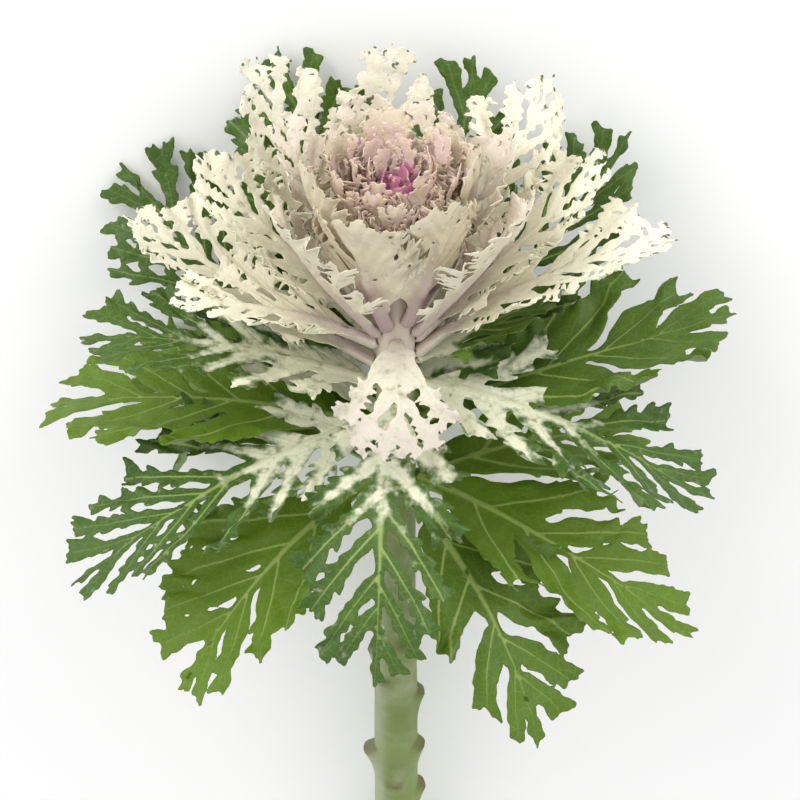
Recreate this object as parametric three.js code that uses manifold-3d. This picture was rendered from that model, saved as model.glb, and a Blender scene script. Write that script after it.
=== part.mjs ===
// Feather-leaved ornamental kale: one cut stem with its rosette, laid on its back.
//
// Plant frame, in millimetres: the origin is the crown node, the point on the stem's axis where the upper
// petioles meet. +Z runs up the stem to the heart, -Y is the face of the rosette and +X its right side.
// The plant is then laid down: +Y along the stem towards the heart, +Z up, and the origin under the middle
// of its box, on the surface that it lies on.

import * as THREE from "three";
import { mergeVertices } from "three/addons/utils/BufferGeometryUtils.js";
import Module from "manifold-3d";

// Driving dimensions, in millimetres and degrees.
const STEM_LENGTH = 320; // from the cut end up to the crown node
const STEM_RADIUS = 9.6; // at the cut end
const NECK_RADIUS = 6.8; // at the crown node
const GROWING_TIP = 40; // height of the stem's tip above the crown node
const LIE_ANGLE = 10; // slope of the laid stem, propped by the leaves under it
const BLADE_THICKNESS = 1.2;
const PETIOLE_THICKNESS = 3.6;
const PETIOLE_HALF_WIDTH = 2.6;
const TIP_HALF_WIDTH = 1.4;
const JOINT_GAP = 0.4; // between a petiole's foot and the stem
const FLOOR_EASE = 10; // height over which a sinking midrib levels out above the surface
const LEVEL_START = 30; // height under which a blade starts to turn its face up
const LEVEL_RANGE = 25; // height over which it does so
const LOBE_NOTCH = 0.18; // half depth of the notch between two lobes, as a share of the half width
const OVAL_SHIFT = 1.2; // above 1, a blade is widest past its middle
const OVAL_FULLNESS = 0.75; // under 1, a blade's outline is fuller than a sine arch
const RIB_TAPER = 1.5; // how fast the rib under a blade thins out towards the tip
const MIDRIB_SUBSTEPS = 6; // steps walked along a midrib between two rows of points

const RADIAN = Math.PI / 180;
const LIE = LIE_ANGLE * RADIAN;
const AXIS = new THREE.Vector3(0, 0, 1);
const UP = new THREE.Vector3(0, -Math.cos(LIE), Math.sin(LIE));
const CROWN_HEIGHT = STEM_LENGTH * Math.sin(LIE) + STEM_RADIUS * Math.cos(LIE);

// Leaves, in rings from the lowest to the heart. azimuth: 0 faces the viewer, 90 is the right and 180 the
// underside. base: height of the petiole's foot above the crown node. length: along the midrib. rise and
// tipRise: slope of the midrib at its foot and at its tip. half: greatest half width of the blade. lobes:
// along each side. bladeStart: share of the length that is bare petiole. cup: how far the sides curl up, in
// degrees. rest: height at which a blade lies on others that lie on the surface.
const RINGS = [
  {
    ring: "lower_leaf",
    lobes: 5,
    bladeStart: 0.2,
    cup: 25,
    leaves: [
      { at: "front_left", azimuth: -50, base: -55, length: 108, rise: -10, tipRise: -45, half: 34 },
      { at: "front_right", azimuth: 33, base: -62, length: 108, rise: -8, tipRise: -60, half: 27 },
      { at: "right", azimuth: 66, base: -58, length: 114, rise: -10, tipRise: -28, half: 36 },
      { at: "left", azimuth: -97, base: -38, length: 120, rise: 12, tipRise: -12, half: 40 },
      {
        at: "far_right",
        azimuth: 97,
        base: -34,
        length: 120,
        rise: 23,
        tipRise: 12,
        half: 34,
        bladeStart: 0.3,
      },
      { at: "under_right", azimuth: 110, base: -62, length: 88, rise: 8, tipRise: -12, half: 32 },
      { at: "under_left", azimuth: -122, base: -56, length: 112, rise: 6, tipRise: -12, half: 32 },
      { at: "under_back_left", azimuth: -158, base: -66, length: 112, rise: 12, tipRise: 10, half: 32 },
      { at: "under_back_right", azimuth: 158, base: -60, length: 92, rise: 14, tipRise: 12, half: 32 },
      { at: "under_back", azimuth: 178, base: -34, length: 116, rise: 18, tipRise: 20, half: 32, rest: 4.2 },
    ],
  },
  {
    ring: "feather_leaf",
    lobes: 5,
    bladeStart: 0.18,
    cup: 25,
    leaves: [
      { at: "low_left", azimuth: -65, base: -32, length: 124, rise: -2, tipRise: -30, half: 36 },
      { at: "front", azimuth: -5, base: -22, length: 110, rise: 5, tipRise: -80, half: 28 },
      { at: "right", azimuth: 70, base: -14, length: 114, rise: 2, tipRise: -26, half: 34, bladeStart: 0.32 },
      { at: "left", azimuth: -85, base: -16, length: 106, rise: 25, tipRise: 5, half: 32 },
      { at: "upper_left_dark", azimuth: -147, base: -19, length: 113, rise: 30, tipRise: 54, half: 28 },
      { at: "upper_left", azimuth: -125, base: -32, length: 132, rise: 15, tipRise: 44, half: 34 },
      { at: "upper_right", azimuth: 130, base: -20, length: 120, rise: 26, tipRise: 58, half: 34 },
      { at: "small_right", azimuth: 100, base: -6, length: 54, rise: 22, tipRise: 25, half: 18 },
      { at: "back_left", azimuth: -152, base: -12, length: 120, rise: 35, tipRise: 62, half: 30 },
      { at: "back_right", azimuth: 157, base: -5, length: 106, rise: 40, tipRise: 64, half: 28 },
    ],
  },
  {
    ring: "white_leaf",
    lobes: 5,
    bladeStart: 0.18,
    cup: 35,
    leaves: [
      { at: "left_vein", azimuth: -102, base: -8, length: 102, rise: 27, tipRise: 33, half: 26 },
      { at: "left", azimuth: -76, base: 3, length: 78, rise: 36, tipRise: 8, half: 22 },
      { at: "low_right", azimuth: 87, base: -2, length: 103, rise: 45, tipRise: 15, half: 26 },
      { at: "right", azimuth: 101, base: 3, length: 92, rise: 44, tipRise: 44, half: 24 },
      { at: "upper_left", azimuth: -106, base: 6, length: 88, rise: 40, tipRise: 46, half: 30 },
      { at: "front", azimuth: 2, base: 2, length: 48, rise: 35, tipRise: -60, half: 24 },
      { at: "upper_right", azimuth: 126, base: 9, length: 98, rise: 44, tipRise: 60, half: 24 },
      { at: "back_left", azimuth: -137, base: 12, length: 98, rise: 42, tipRise: 58, half: 25 },
      { at: "back", azimuth: -178, base: 12, length: 92, rise: 47, tipRise: 68, half: 23 },
    ],
  },
  {
    ring: "frill_leaf",
    lobes: 4,
    bladeStart: 0.2,
    cup: 40,
    leaves: [
      { at: "right", azimuth: 66, base: 9, length: 76, rise: 52, tipRise: 60, half: 17 },
      { at: "upper_right", azimuth: 108, base: 14, length: 76, rise: 58, tipRise: 66, half: 15 },
      { at: "back_right", azimuth: 160, base: 17, length: 70, rise: 56, tipRise: 70, half: 14 },
      { at: "back_left", azimuth: -158, base: 19, length: 70, rise: 61, tipRise: 74, half: 13 },
      { at: "upper_left", azimuth: -114, base: 15, length: 76, rise: 55, tipRise: 66, half: 11 },
      { at: "left", azimuth: -60, base: 9, length: 74, rise: 53, tipRise: 60, half: 17 },
    ],
  },
  {
    ring: "cup_leaf",
    lobes: 3,
    bladeStart: 0.22,
    cup: 40,
    leaves: [
      { at: "front_left", azimuth: -24, base: 13, length: 72, rise: 57, tipRise: 75, half: 19 },
      { at: "front_right", azimuth: 34, base: 15, length: 70, rise: 63, tipRise: 77, half: 16 },
      { at: "right", azimuth: 84, base: 21, length: 64, rise: 66, tipRise: 76, half: 14 },
      { at: "back_right", azimuth: 132, base: 23, length: 60, rise: 67, tipRise: 78, half: 9 },
      { at: "back", azimuth: -170, base: 25, length: 60, rise: 64, tipRise: 78, half: 9 },
      { at: "back_left", azimuth: -110, base: 24, length: 60, rise: 67, tipRise: 78, half: 10 },
      { at: "left", azimuth: -70, base: 17, length: 68, rise: 62, tipRise: 75, half: 16 },
    ],
  },
  {
    ring: "heart_leaf",
    lobes: 2,
    bladeStart: 0.2,
    cup: 50,
    leaves: [
      { at: "1", azimuth: 0, base: 27, length: 54, rise: 66, tipRise: 80, half: 11 },
      { at: "2", azimuth: 62, base: 28, length: 53, rise: 72, tipRise: 84, half: 9 },
      { at: "3", azimuth: 118, base: 30, length: 52, rise: 75, tipRise: 84, half: 6 },
      { at: "4", azimuth: -176, base: 31, length: 51, rise: 78, tipRise: 84, half: 5 },
      { at: "5", azimuth: -120, base: 31, length: 50, rise: 75, tipRise: 84, half: 6 },
      { at: "6", azimuth: -60, base: 28, length: 52, rise: 73, tipRise: 84, half: 9 },
      { at: "7", azimuth: 28, base: 33, length: 42, rise: 78, tipRise: 86, half: 8 },
      { at: "8", azimuth: 146, base: 36, length: 41, rise: 82, tipRise: 86, half: 6 },
      { at: "9", azimuth: -80, base: 35, length: 42, rise: 82, tipRise: 86, half: 5 },
    ],
  },
];

// Stumps of fallen leaves up the stem: azimuth and height above the crown node.
const STUMPS = [
  { azimuth: 95, height: -171 },
  { azimuth: 78, height: -199 },
  { azimuth: -86, height: -202 },
  { azimuth: -5, height: -217 },
  { azimuth: 104, height: -226 },
  { azimuth: -112, height: -150 },
  { azimuth: 28, height: -140 },
  { azimuth: -38, height: -160 },
  { azimuth: 150, height: -166 },
  { azimuth: -62, height: -250 },
  { azimuth: 62, height: -262 },
  { azimuth: -8, height: -284 },
];
const STUMP_FOOT_RADIUS = 4.2;
const STUMP_END_RADIUS = 2.2;
const STUMP_LENGTH = 4.6;
const STUMP_RISE = 30; // slope of a stump away from the stem
const STUMP_SINK = 1; // depth of a stump's middle under the rind
const STUMP_SIDES = 10;
const STEM_SIDES = 24;
const SHAFT_ROWS = [1, 0.75, 0.5, 0.25, 0]; // shares of the stem below the crown node
const TIP_ROWS = [0.35, 0.6, 0.8, 0.93]; // shares of the growing tip above it
const WELD = 1e-4; // points closer than this are one

const LOOKS = {
  stem: { color: 0x9db070, roughness: 0.55 },
  lower_leaf: { color: 0x5f8a2e, roughness: 0.5 },
  feather_leaf: { color: 0x6f9152, roughness: 0.5 },
  white_leaf: { color: 0xe4dfcc, roughness: 0.5 },
  frill_leaf: { color: 0xe8e0d0, roughness: 0.5 },
  cup_leaf: { color: 0xe6dccf, roughness: 0.5 },
  heart_leaf: { color: 0xcfa4ae, roughness: 0.5 },
};

const wasm = await Module();
wasm.setup();

// A closed geometry as a manifold-3d solid, with only its positions kept.
function toSolid(geometry) {
  const plain = geometry.clone();
  plain.deleteAttribute("normal");
  plain.deleteAttribute("uv");
  const merged = mergeVertices(plain, WELD);
  const corners = merged.index.array;
  const triangles = [];
  for (let i = 0; i < corners.length; i += 3) {
    const [a, b, c] = corners.slice(i, i + 3);
    if (a !== b && b !== c && c !== a) triangles.push(a, b, c);
  }
  return new wasm.Manifold(
    new wasm.Mesh({
      numProp: 3,
      vertProperties: merged.attributes.position.array,
      triVerts: new Uint32Array(triangles),
    }),
  );
}

// A manifold-3d solid as a geometry.
function toGeometry(solid) {
  const mesh = solid.getMesh();
  return new THREE.BufferGeometry()
    .setAttribute("position", new THREE.BufferAttribute(mesh.vertProperties, 3))
    .setIndex(new THREE.BufferAttribute(mesh.triVerts, 1));
}

// Outward direction at an azimuth round the stem.
function outward(azimuth) {
  return new THREE.Vector3(Math.sin(azimuth * RADIAN), -Math.cos(azimuth * RADIAN), 0);
}

// The stem narrows evenly to the crown node, then rounds off to its growing tip.
function stemRadius(z) {
  if (z <= 0) return NECK_RADIUS + ((STEM_RADIUS - NECK_RADIUS) * -z) / STEM_LENGTH;
  return NECK_RADIUS * Math.sqrt(Math.max(0, 1 - (z / GROWING_TIP) ** 2));
}

// Height of a plant-frame point above the surface that the plant lies on.
function heightAbove(point) {
  return CROWN_HEIGHT + point.dot(UP);
}

// Points and directions along a midrib at the given shares of its length. Its slope runs evenly from rise to
// tipRise, and close to the surface its fall is held back so that it levels out and lies along it.
function midrib(leaf, shares) {
  const out = outward(leaf.azimuth);
  const point = out.clone().multiplyScalar(stemRadius(leaf.base) + JOINT_GAP + BLADE_THICKNESS / 2);
  point.z = leaf.base;
  const rest = leaf.rest ?? BLADE_THICKNESS / 2;
  const stations = [];
  shares.forEach((share, i) => {
    const from = i ? shares[i - 1] : 0;
    let direction;
    for (let k = 1; k <= MIDRIB_SUBSTEPS; k++) {
      const s = from + ((share - from) * k) / MIDRIB_SUBSTEPS;
      const slope = (leaf.rise + (leaf.tipRise - leaf.rise) * s) * RADIAN;
      direction = out.clone().multiplyScalar(Math.cos(slope)).addScaledVector(AXIS, Math.sin(slope));
      const slowest = -(heightAbove(point) - rest) / FLOOR_EASE;
      const fall = direction.dot(UP);
      if (fall < slowest) {
        direction.addScaledVector(UP, -fall).normalize();
        direction.multiplyScalar(Math.sqrt(1 - slowest * slowest)).addScaledVector(UP, slowest);
      }
      point.addScaledVector(direction, (leaf.length * (share - from)) / MIDRIB_SUBSTEPS);
    }
    stations.push({ s: share, point: point.clone(), direction });
  });
  return stations;
}

// Half width of the blade: a petiole, then an oval envelope notched between its lobes.
function halfWidth(leaf, s) {
  const t = (s - leaf.bladeStart) / (1 - leaf.bladeStart);
  if (t <= 0) return PETIOLE_HALF_WIDTH;
  const envelope = leaf.half * Math.sin(Math.PI * Math.min(t, 1) ** OVAL_SHIFT) ** OVAL_FULLNESS;
  const notch = LOBE_NOTCH * (1 + Math.cos(2 * Math.PI * leaf.lobes * t));
  return Math.max(TIP_HALF_WIDTH, PETIOLE_HALF_WIDTH * (1 - t), envelope * (1 - notch));
}

// Sideways and upper-face directions of the blade where it leaves its midrib. A blade that lies on the
// surface turns its upper face straight up.
function bladeFrame(leaf, station) {
  const out = outward(leaf.azimuth);
  const across = new THREE.Vector3().crossVectors(AXIS, out);
  const face = new THREE.Vector3().crossVectors(station.direction, across);
  const level = THREE.MathUtils.smoothstep(LEVEL_START - heightAbove(station.point), 0, LEVEL_RANGE);
  face.lerp(UP, level);
  face.addScaledVector(station.direction, -face.dot(station.direction)).normalize();
  const side = new THREE.Vector3().crossVectors(face, station.direction).normalize();
  return { side, face, level };
}

// A leaf as one closed solid: rows of points across the blade at each station, on its upper and lower face.
function leafGeometry(leaf) {
  const lengthwise = [0, leaf.bladeStart / 2];
  for (let row = 0; row <= 2 * leaf.lobes; row++) {
    lengthwise.push(leaf.bladeStart + ((1 - leaf.bladeStart) * row) / (2 * leaf.lobes));
  }
  const shares = leaf.lobes > 2 ? [-1, -0.5, 0, 0.5, 1] : [-1, 0, 1];
  const stations = midrib(leaf, lengthwise);
  const upper = [];
  const lower = [];
  for (const station of stations) {
    const { side, face, level } = bladeFrame(leaf, station);
    const half = halfWidth(leaf, station.s);
    const stalk = Math.max(0, 1 - station.s) ** RIB_TAPER;
    const curl = (leaf.cup * RADIAN * (1 - level)) / leaf.half;
    for (const share of shares) {
      const reach = half * share;
      const middle = station.point.clone();
      middle.addScaledVector(side, curl ? Math.sin(reach * curl) / curl : reach);
      middle.addScaledVector(face, curl ? (1 - Math.cos(reach * curl)) / curl : 0);
      middle.addScaledVector(UP, Math.max(0, (leaf.rest ?? BLADE_THICKNESS / 2) - heightAbove(middle)));
      const normal = face.clone().addScaledVector(side, -Math.sin(reach * curl)).normalize();
      const edge = BLADE_THICKNESS / 2;
      const rib = ((PETIOLE_THICKNESS - BLADE_THICKNESS) / 2) * stalk * (1 - Math.abs(share));
      const under = middle.clone().addScaledVector(normal, -edge - 2 * rib);
      under.addScaledVector(UP, Math.max(0, -heightAbove(under)));
      upper.push(middle.clone().addScaledVector(normal, edge));
      lower.push(under);
    }
  }
  const width = shares.length;
  const points = [...upper, ...lower];
  const below = upper.length;
  const triangles = [];
  const quad = (a, b, c, d) => triangles.push(a, c, b, a, d, c);
  for (let i = 0; i + 1 < stations.length; i++) {
    for (let j = 0; j + 1 < width; j++) {
      const a = i * width + j;
      quad(a, a + 1, a + width + 1, a + width);
      quad(below + a, below + a + width, below + a + width + 1, below + a + 1);
    }
    const left = i * width;
    const right = left + width - 1;
    quad(left, left + width, below + left + width, below + left);
    quad(right, below + right, below + right + width, right + width);
  }
  const last = (stations.length - 1) * width;
  for (let j = 0; j + 1 < width; j++) {
    quad(j, below + j, below + j + 1, j + 1);
    quad(last + j, last + j + 1, below + last + j + 1, below + last + j);
  }
  return new THREE.BufferGeometry().setFromPoints(points).setIndex(triangles);
}

// The stem: a turned body from its cut end to its growing tip, with the stumps joined on.
function stemGeometry() {
  const profile = [new THREE.Vector2(0, -STEM_LENGTH)];
  for (const share of SHAFT_ROWS) {
    profile.push(new THREE.Vector2(stemRadius(-STEM_LENGTH * share), -STEM_LENGTH * share));
  }
  for (const share of TIP_ROWS) {
    profile.push(new THREE.Vector2(stemRadius(GROWING_TIP * share), GROWING_TIP * share));
  }
  profile.push(new THREE.Vector2(0, GROWING_TIP));
  const turned = new THREE.LatheGeometry(profile, STEM_SIDES).rotateX(90 * RADIAN);
  const alongY = new THREE.Vector3(0, 1, 0);
  let body = toSolid(turned);
  for (const { azimuth, height } of STUMPS) {
    const out = outward(azimuth);
    const lean = out.clone().multiplyScalar(Math.cos(STUMP_RISE * RADIAN));
    lean.addScaledVector(AXIS, Math.sin(STUMP_RISE * RADIAN));
    const whole = STUMP_LENGTH * 2;
    const stump = new THREE.CylinderGeometry(STUMP_END_RADIUS, STUMP_FOOT_RADIUS, whole, STUMP_SIDES);
    stump.applyQuaternion(new THREE.Quaternion().setFromUnitVectors(alongY, lean));
    const foot = out.multiplyScalar(stemRadius(height) - STUMP_SINK);
    body = body.add(toSolid(stump.translate(foot.x, foot.y, height)));
  }
  return toGeometry(body);
}

const plant = new THREE.Group();
plant.rotation.x = LIE - Math.PI / 2;

const stem = new THREE.Mesh(stemGeometry(), new THREE.MeshStandardMaterial(LOOKS.stem));
stem.name = "stem";
plant.add(stem);

for (const { ring, leaves, ...shape } of RINGS) {
  for (const leaf of leaves) {
    const blade = leafGeometry({ ...shape, ...leaf });
    const mesh = new THREE.Mesh(blade, new THREE.MeshStandardMaterial(LOOKS[ring]));
    mesh.name = `${ring}_${leaf.at}`;
    plant.add(mesh);
  }
}

const kale = new THREE.Group();
kale.add(plant);
kale.updateMatrixWorld(true);
const box = new THREE.Box3().setFromObject(kale, true);
const middle = box.getCenter(new THREE.Vector3());
plant.position.set(-middle.x, -middle.y, -box.min.z);

export default kale;
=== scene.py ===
"""Feather-leaved ornamental kale, cut and laid on its back: leaves, stem, finishes and studio.

Leaf and stem shapes are worked out in millimetres in the plant frame: the origin is the crown node on the
stem's axis, +Z runs up the stem to the heart, -Y is the rosette's face and +X its right side. Lay.to_row
carries them into the row frame, in metres.
"""
import logging
from dataclasses import dataclass, field, replace
from enum import Enum
from typing import Any, ClassVar

import bpy
import numpy as np
from mathutils import Matrix, Vector


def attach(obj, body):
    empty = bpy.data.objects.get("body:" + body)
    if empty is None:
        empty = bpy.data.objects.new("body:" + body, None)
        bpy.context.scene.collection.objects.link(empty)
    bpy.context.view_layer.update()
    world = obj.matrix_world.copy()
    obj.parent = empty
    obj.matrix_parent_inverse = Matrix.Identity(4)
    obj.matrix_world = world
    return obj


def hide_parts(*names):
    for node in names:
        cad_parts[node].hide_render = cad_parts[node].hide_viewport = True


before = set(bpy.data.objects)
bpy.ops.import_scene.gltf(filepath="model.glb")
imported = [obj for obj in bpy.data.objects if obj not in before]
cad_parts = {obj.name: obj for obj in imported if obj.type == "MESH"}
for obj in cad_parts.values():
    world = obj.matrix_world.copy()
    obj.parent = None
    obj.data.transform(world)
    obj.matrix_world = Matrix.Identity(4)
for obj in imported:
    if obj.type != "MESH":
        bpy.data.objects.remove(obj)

Array = np.ndarray

MM = 0.001
BODY = "root"
BAKE_MAP = "OFBake"
TINY = 1e-6

LOG = logging.getLogger("kale")


def smoothstep(low: float, high: float, value: Array) -> Array:
    """Rises from 0 at low to 1 at high along a cubic.

    Args:
        low: where the rise starts.
        high: where it ends.
        value: numbers to place on it.

    Returns:
        The rise at each number.
    """
    share = np.clip((value - low) / (high - low), 0.0, 1.0)
    return share * share * (3.0 - 2.0 * share)


def unit(vectors: Array) -> Array:
    """Scales vectors along the last axis to length 1."""
    return vectors / np.maximum(np.linalg.norm(vectors, axis=-1, keepdims=True), 1e-12)


class Tone(Enum):
    """Which green a leaf's blade takes."""

    DEEP = 0.0
    MIDDLE = 0.5
    FRESH = 1.0


@dataclass(frozen=True)
class Lay:
    """How the plant lies: the stem's sizes, its slope, and where the crown node is in the row frame.

    end_band: depth of the band that counts as the stem's cut end, as a multiple of its overhang.
    """

    stem_length: float = 320.0
    stem_radius: float = 9.6
    neck_radius: float = 6.8
    growing_tip: float = 40.0
    lie_angle: float = 10.0
    end_band: float = 2.5
    axis: Array = field(default_factory=lambda: np.array([0.0, 0.0, 1.0]))

    @property
    def slope(self) -> float:
        """The laid stem's slope in radians."""
        return np.radians(self.lie_angle)

    @property
    def up(self) -> Array:
        """The direction away from the floor, in the plant frame."""
        return np.array([0.0, -np.cos(self.slope), np.sin(self.slope)])

    @property
    def crown_height(self) -> float:
        """Height of the crown node above the floor."""
        return self.stem_length * np.sin(self.slope) + self.stem_radius * np.cos(self.slope)

    def radius(self, z: Array) -> Array:
        """The stem's radius: it narrows evenly to the crown node, then rounds off to the growing tip.

        Args:
            z: heights above the crown node.

        Returns:
            The radius at each height.
        """
        z = np.asarray(z, float)
        shaft = self.neck_radius + (self.stem_radius - self.neck_radius) * -z / self.stem_length
        dome = self.neck_radius * np.sqrt(np.clip(1.0 - (z / self.growing_tip) ** 2, 0.0, 1.0))
        return np.where(z <= 0.0, shaft, dome)

    def height(self, points: Array) -> Array:
        """Height of plant-frame points above the floor."""
        return self.crown_height + points @ self.up

    def crown(self) -> Array:
        """The crown node in the row frame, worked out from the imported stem.

        The middle of its cut end gives the axis, and its near end the place along it.

        Returns:
            The place in millimetres.
        """
        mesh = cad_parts["stem"].data
        corners = np.empty(len(mesh.vertices) * 3)
        mesh.vertices.foreach_get("co", corners)
        corners = corners.reshape(-1, 3) / MM
        low = corners.min(0)
        overhang = self.stem_radius * np.sin(self.slope)
        cut_end = corners[corners[:, 1] < low[1] + overhang * self.end_band]
        across = (cut_end[:, 0].min() + cut_end[:, 0].max()) / 2
        along = self.stem_length * np.cos(self.slope) + overhang
        return np.array([across, low[1] + along, self.crown_height])

    def turn(self, vectors: Array) -> Array:
        """Turns plant-frame directions into the row frame: the axis up the slope to +Y, the face up."""
        cos, sin = np.cos(self.slope), np.sin(self.slope)
        return vectors @ np.array([[1.0, 0.0, 0.0], [0.0, sin, cos], [0.0, -cos, sin]]).T

    def to_row(self, points: Array) -> Array:
        """Carries plant-frame points in millimetres into the row frame in metres."""
        return (self.turn(points) + self.crown()) * MM


LAY = Lay()


@dataclass
class Shape:
    """A mesh being worked out: points in the plant frame, triangles, a bake map and per-point amounts."""

    points: Array
    triangles: Array
    corners_uv: Array
    amounts: dict[str, Array]

    @staticmethod
    def joined(shapes: list["Shape"]) -> "Shape":
        """Joins shapes into one, with their bake maps side by side.

        Args:
            shapes: shapes that carry the same amounts.

        Returns:
            The joined shape.
        """
        first = np.cumsum([0] + [len(shape.points) for shape in shapes[:-1]])
        many = len(shapes)
        charts = [(shape.corners_uv + [k, 0.0]) / [many, 1.0] for k, shape in enumerate(shapes)]
        labels = shapes[0].amounts
        return Shape(
            np.concatenate([shape.points for shape in shapes]),
            np.concatenate([shape.triangles + start for shape, start in zip(shapes, first)]),
            np.concatenate(charts),
            {label: np.concatenate([shape.amounts[label] for shape in shapes]) for label in labels},
        )

    def to_object(self, name: str, material: bpy.types.Material) -> bpy.types.Object:
        """Puts the shape into a Blender mesh object.

        Args:
            name: the object's name.
            material: what it is dressed in.

        Returns:
            The linked object, at the origin, with its place in its mesh.
        """
        mesh = bpy.data.meshes.new(name)
        count = len(self.triangles)
        mesh.vertices.add(len(self.points))
        mesh.vertices.foreach_set("co", LAY.to_row(self.points).astype(np.float32).ravel())
        mesh.loops.add(count * 3)
        mesh.loops.foreach_set("vertex_index", self.triangles.astype(np.int32).ravel())
        mesh.polygons.add(count)
        mesh.polygons.foreach_set("loop_start", np.arange(0, count * 3, 3, dtype=np.int32))
        mesh.polygons.foreach_set("use_smooth", np.ones(count, dtype=bool))
        mesh.update(calc_edges=True)
        chart = mesh.uv_layers.new(name=BAKE_MAP)
        chart.uv.foreach_set("vector", self.corners_uv.astype(np.float32).ravel())
        for label, amount in self.amounts.items():
            layer = mesh.attributes.new(label, "FLOAT", "POINT")
            layer.data.foreach_set("value", amount.astype(np.float32))
        mesh.materials.append(material)
        piece = bpy.data.objects.new(name, mesh)
        bpy.context.scene.collection.objects.link(piece)
        return piece


class Amount:
    """A node socket that holds a number, with arithmetic that adds Math nodes."""

    def __init__(self, sheet: "Sheet", socket: bpy.types.NodeSocket) -> None:
        """Keeps the socket and the sheet of nodes that it belongs to."""
        self.sheet = sheet
        self.socket = socket

    def _math(self, operation: str, first: Any, second: Any) -> "Amount":
        """Adds one Math node."""
        return self.sheet.number("ShaderNodeMath", {"operation": operation}, {0: first, 1: second})

    def __add__(self, other: Any) -> "Amount":
        """Sum."""
        return self._math("ADD", self, other)

    __radd__ = __add__

    def __sub__(self, other: Any) -> "Amount":
        """Difference."""
        return self._math("SUBTRACT", self, other)

    def __rsub__(self, other: Any) -> "Amount":
        """Difference from a number."""
        return self._math("SUBTRACT", other, self)

    def __mul__(self, other: Any) -> "Amount":
        """Product."""
        return self._math("MULTIPLY", self, other)

    __rmul__ = __mul__

    def rise(self, low: float, high: float) -> "Amount":
        """Rises smoothly from 0 at low to 1 at high."""
        settings = {"interpolation_type": "SMOOTHSTEP"}
        return self.sheet.number("ShaderNodeMapRange", settings, {"Value": self, 1: low, 2: high})


class Sheet:
    """The nodes of one material."""

    def __init__(self, name: str) -> None:
        """Starts a material with only its output and one Principled shader.

        Args:
            name: the material's name.
        """
        self.material = bpy.data.materials.new(name)
        self.material.use_nodes = True
        self.tree = self.material.node_tree
        self.shader = self.tree.nodes["Principled BSDF"]

    def add(self, kind: str, settings: dict[str, Any], sockets: dict[Any, Any]) -> bpy.types.Node:
        """Adds a node.

        Args:
            kind: the node's type.
            settings: its properties, set first.
            sockets: input name or number to a value, an Amount or a socket.

        Returns:
            The node.
        """
        node = self.tree.nodes.new(kind)
        for key, value in settings.items():
            setattr(node, key, value)
        for key, value in sockets.items():
            self.feed(node.inputs[key], value)
        return node

    def feed(self, target: bpy.types.NodeSocket, value: Any) -> None:
        """Links or sets one input socket.

        Args:
            target: the socket.
            value: an Amount or a socket to link, or a number or colour to set.
        """
        if isinstance(value, Amount):
            value = value.socket
        if isinstance(value, bpy.types.NodeSocket):
            self.tree.links.new(value, target)
        elif target.type == "RGBA":
            target.default_value = (*value, 1.0)
        else:
            target.default_value = value

    def number(self, kind: str, settings: dict[str, Any], sockets: dict[Any, Any], out: Any = 0) -> Amount:
        """Adds a node and wraps one of its outputs as a number."""
        return Amount(self, self.add(kind, settings, sockets).outputs[out])

    def painted(self, label: str) -> Amount:
        """An amount that the mesh carries at its points."""
        return self.number("ShaderNodeAttribute", {"attribute_name": label}, {}, "Fac")

    def mix(self, amount: Any, first: Any, second: Any, blend: str = "MIX") -> bpy.types.NodeSocket:
        """Mixes two colours.

        Args:
            amount: how much of the second shows.
            first: a colour or a colour socket.
            second: a colour or a colour socket.
            blend: the Mix node's way of mixing.

        Returns:
            The mixed colour's socket.
        """
        settings = {"data_type": "RGBA", "blend_type": blend, "clamp_factor": True}
        return self.add("ShaderNodeMix", settings, {0: amount, 6: first, 7: second}).outputs[2]

    def place(self) -> bpy.types.NodeSocket:
        """Object coordinates."""
        return self.add("ShaderNodeTexCoord", {}, {}).outputs["Object"]

    def noise(self, scale: float, detail: float = 3.0, rough: float = 0.55) -> Amount:
        """Noise over Object coordinates, with scale in waves to the metre."""
        sockets = {"Vector": self.place(), "Scale": scale, "Detail": detail, "Roughness": rough}
        return self.number("ShaderNodeTexNoise", {}, sockets, "Fac")

    def net(self, scale: float) -> Amount:
        """Distance to the edges of Voronoi cells over Object coordinates, as a leaf's finest veins run."""
        settings, sockets = {"feature": "DISTANCE_TO_EDGE"}, {"Vector": self.place(), "Scale": scale}
        return self.number("ShaderNodeTexVoronoi", settings, sockets, "Distance")


Colour = tuple[float, float, float]


def srgb(red: int, green: int, blue: int) -> Colour:
    """A colour given as on a screen, as linear light.

    Args:
        red: from 0 to 255.
        green: the same.
        blue: the same.

    Returns:
        The three amounts of light, from 0 to 1.
    """
    share = np.array([red, green, blue]) / 255.0
    linear = np.where(share <= 0.04045, share / 12.92, ((share + 0.055) / 1.055) ** 2.4)
    return tuple(float(x) for x in linear)


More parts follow.
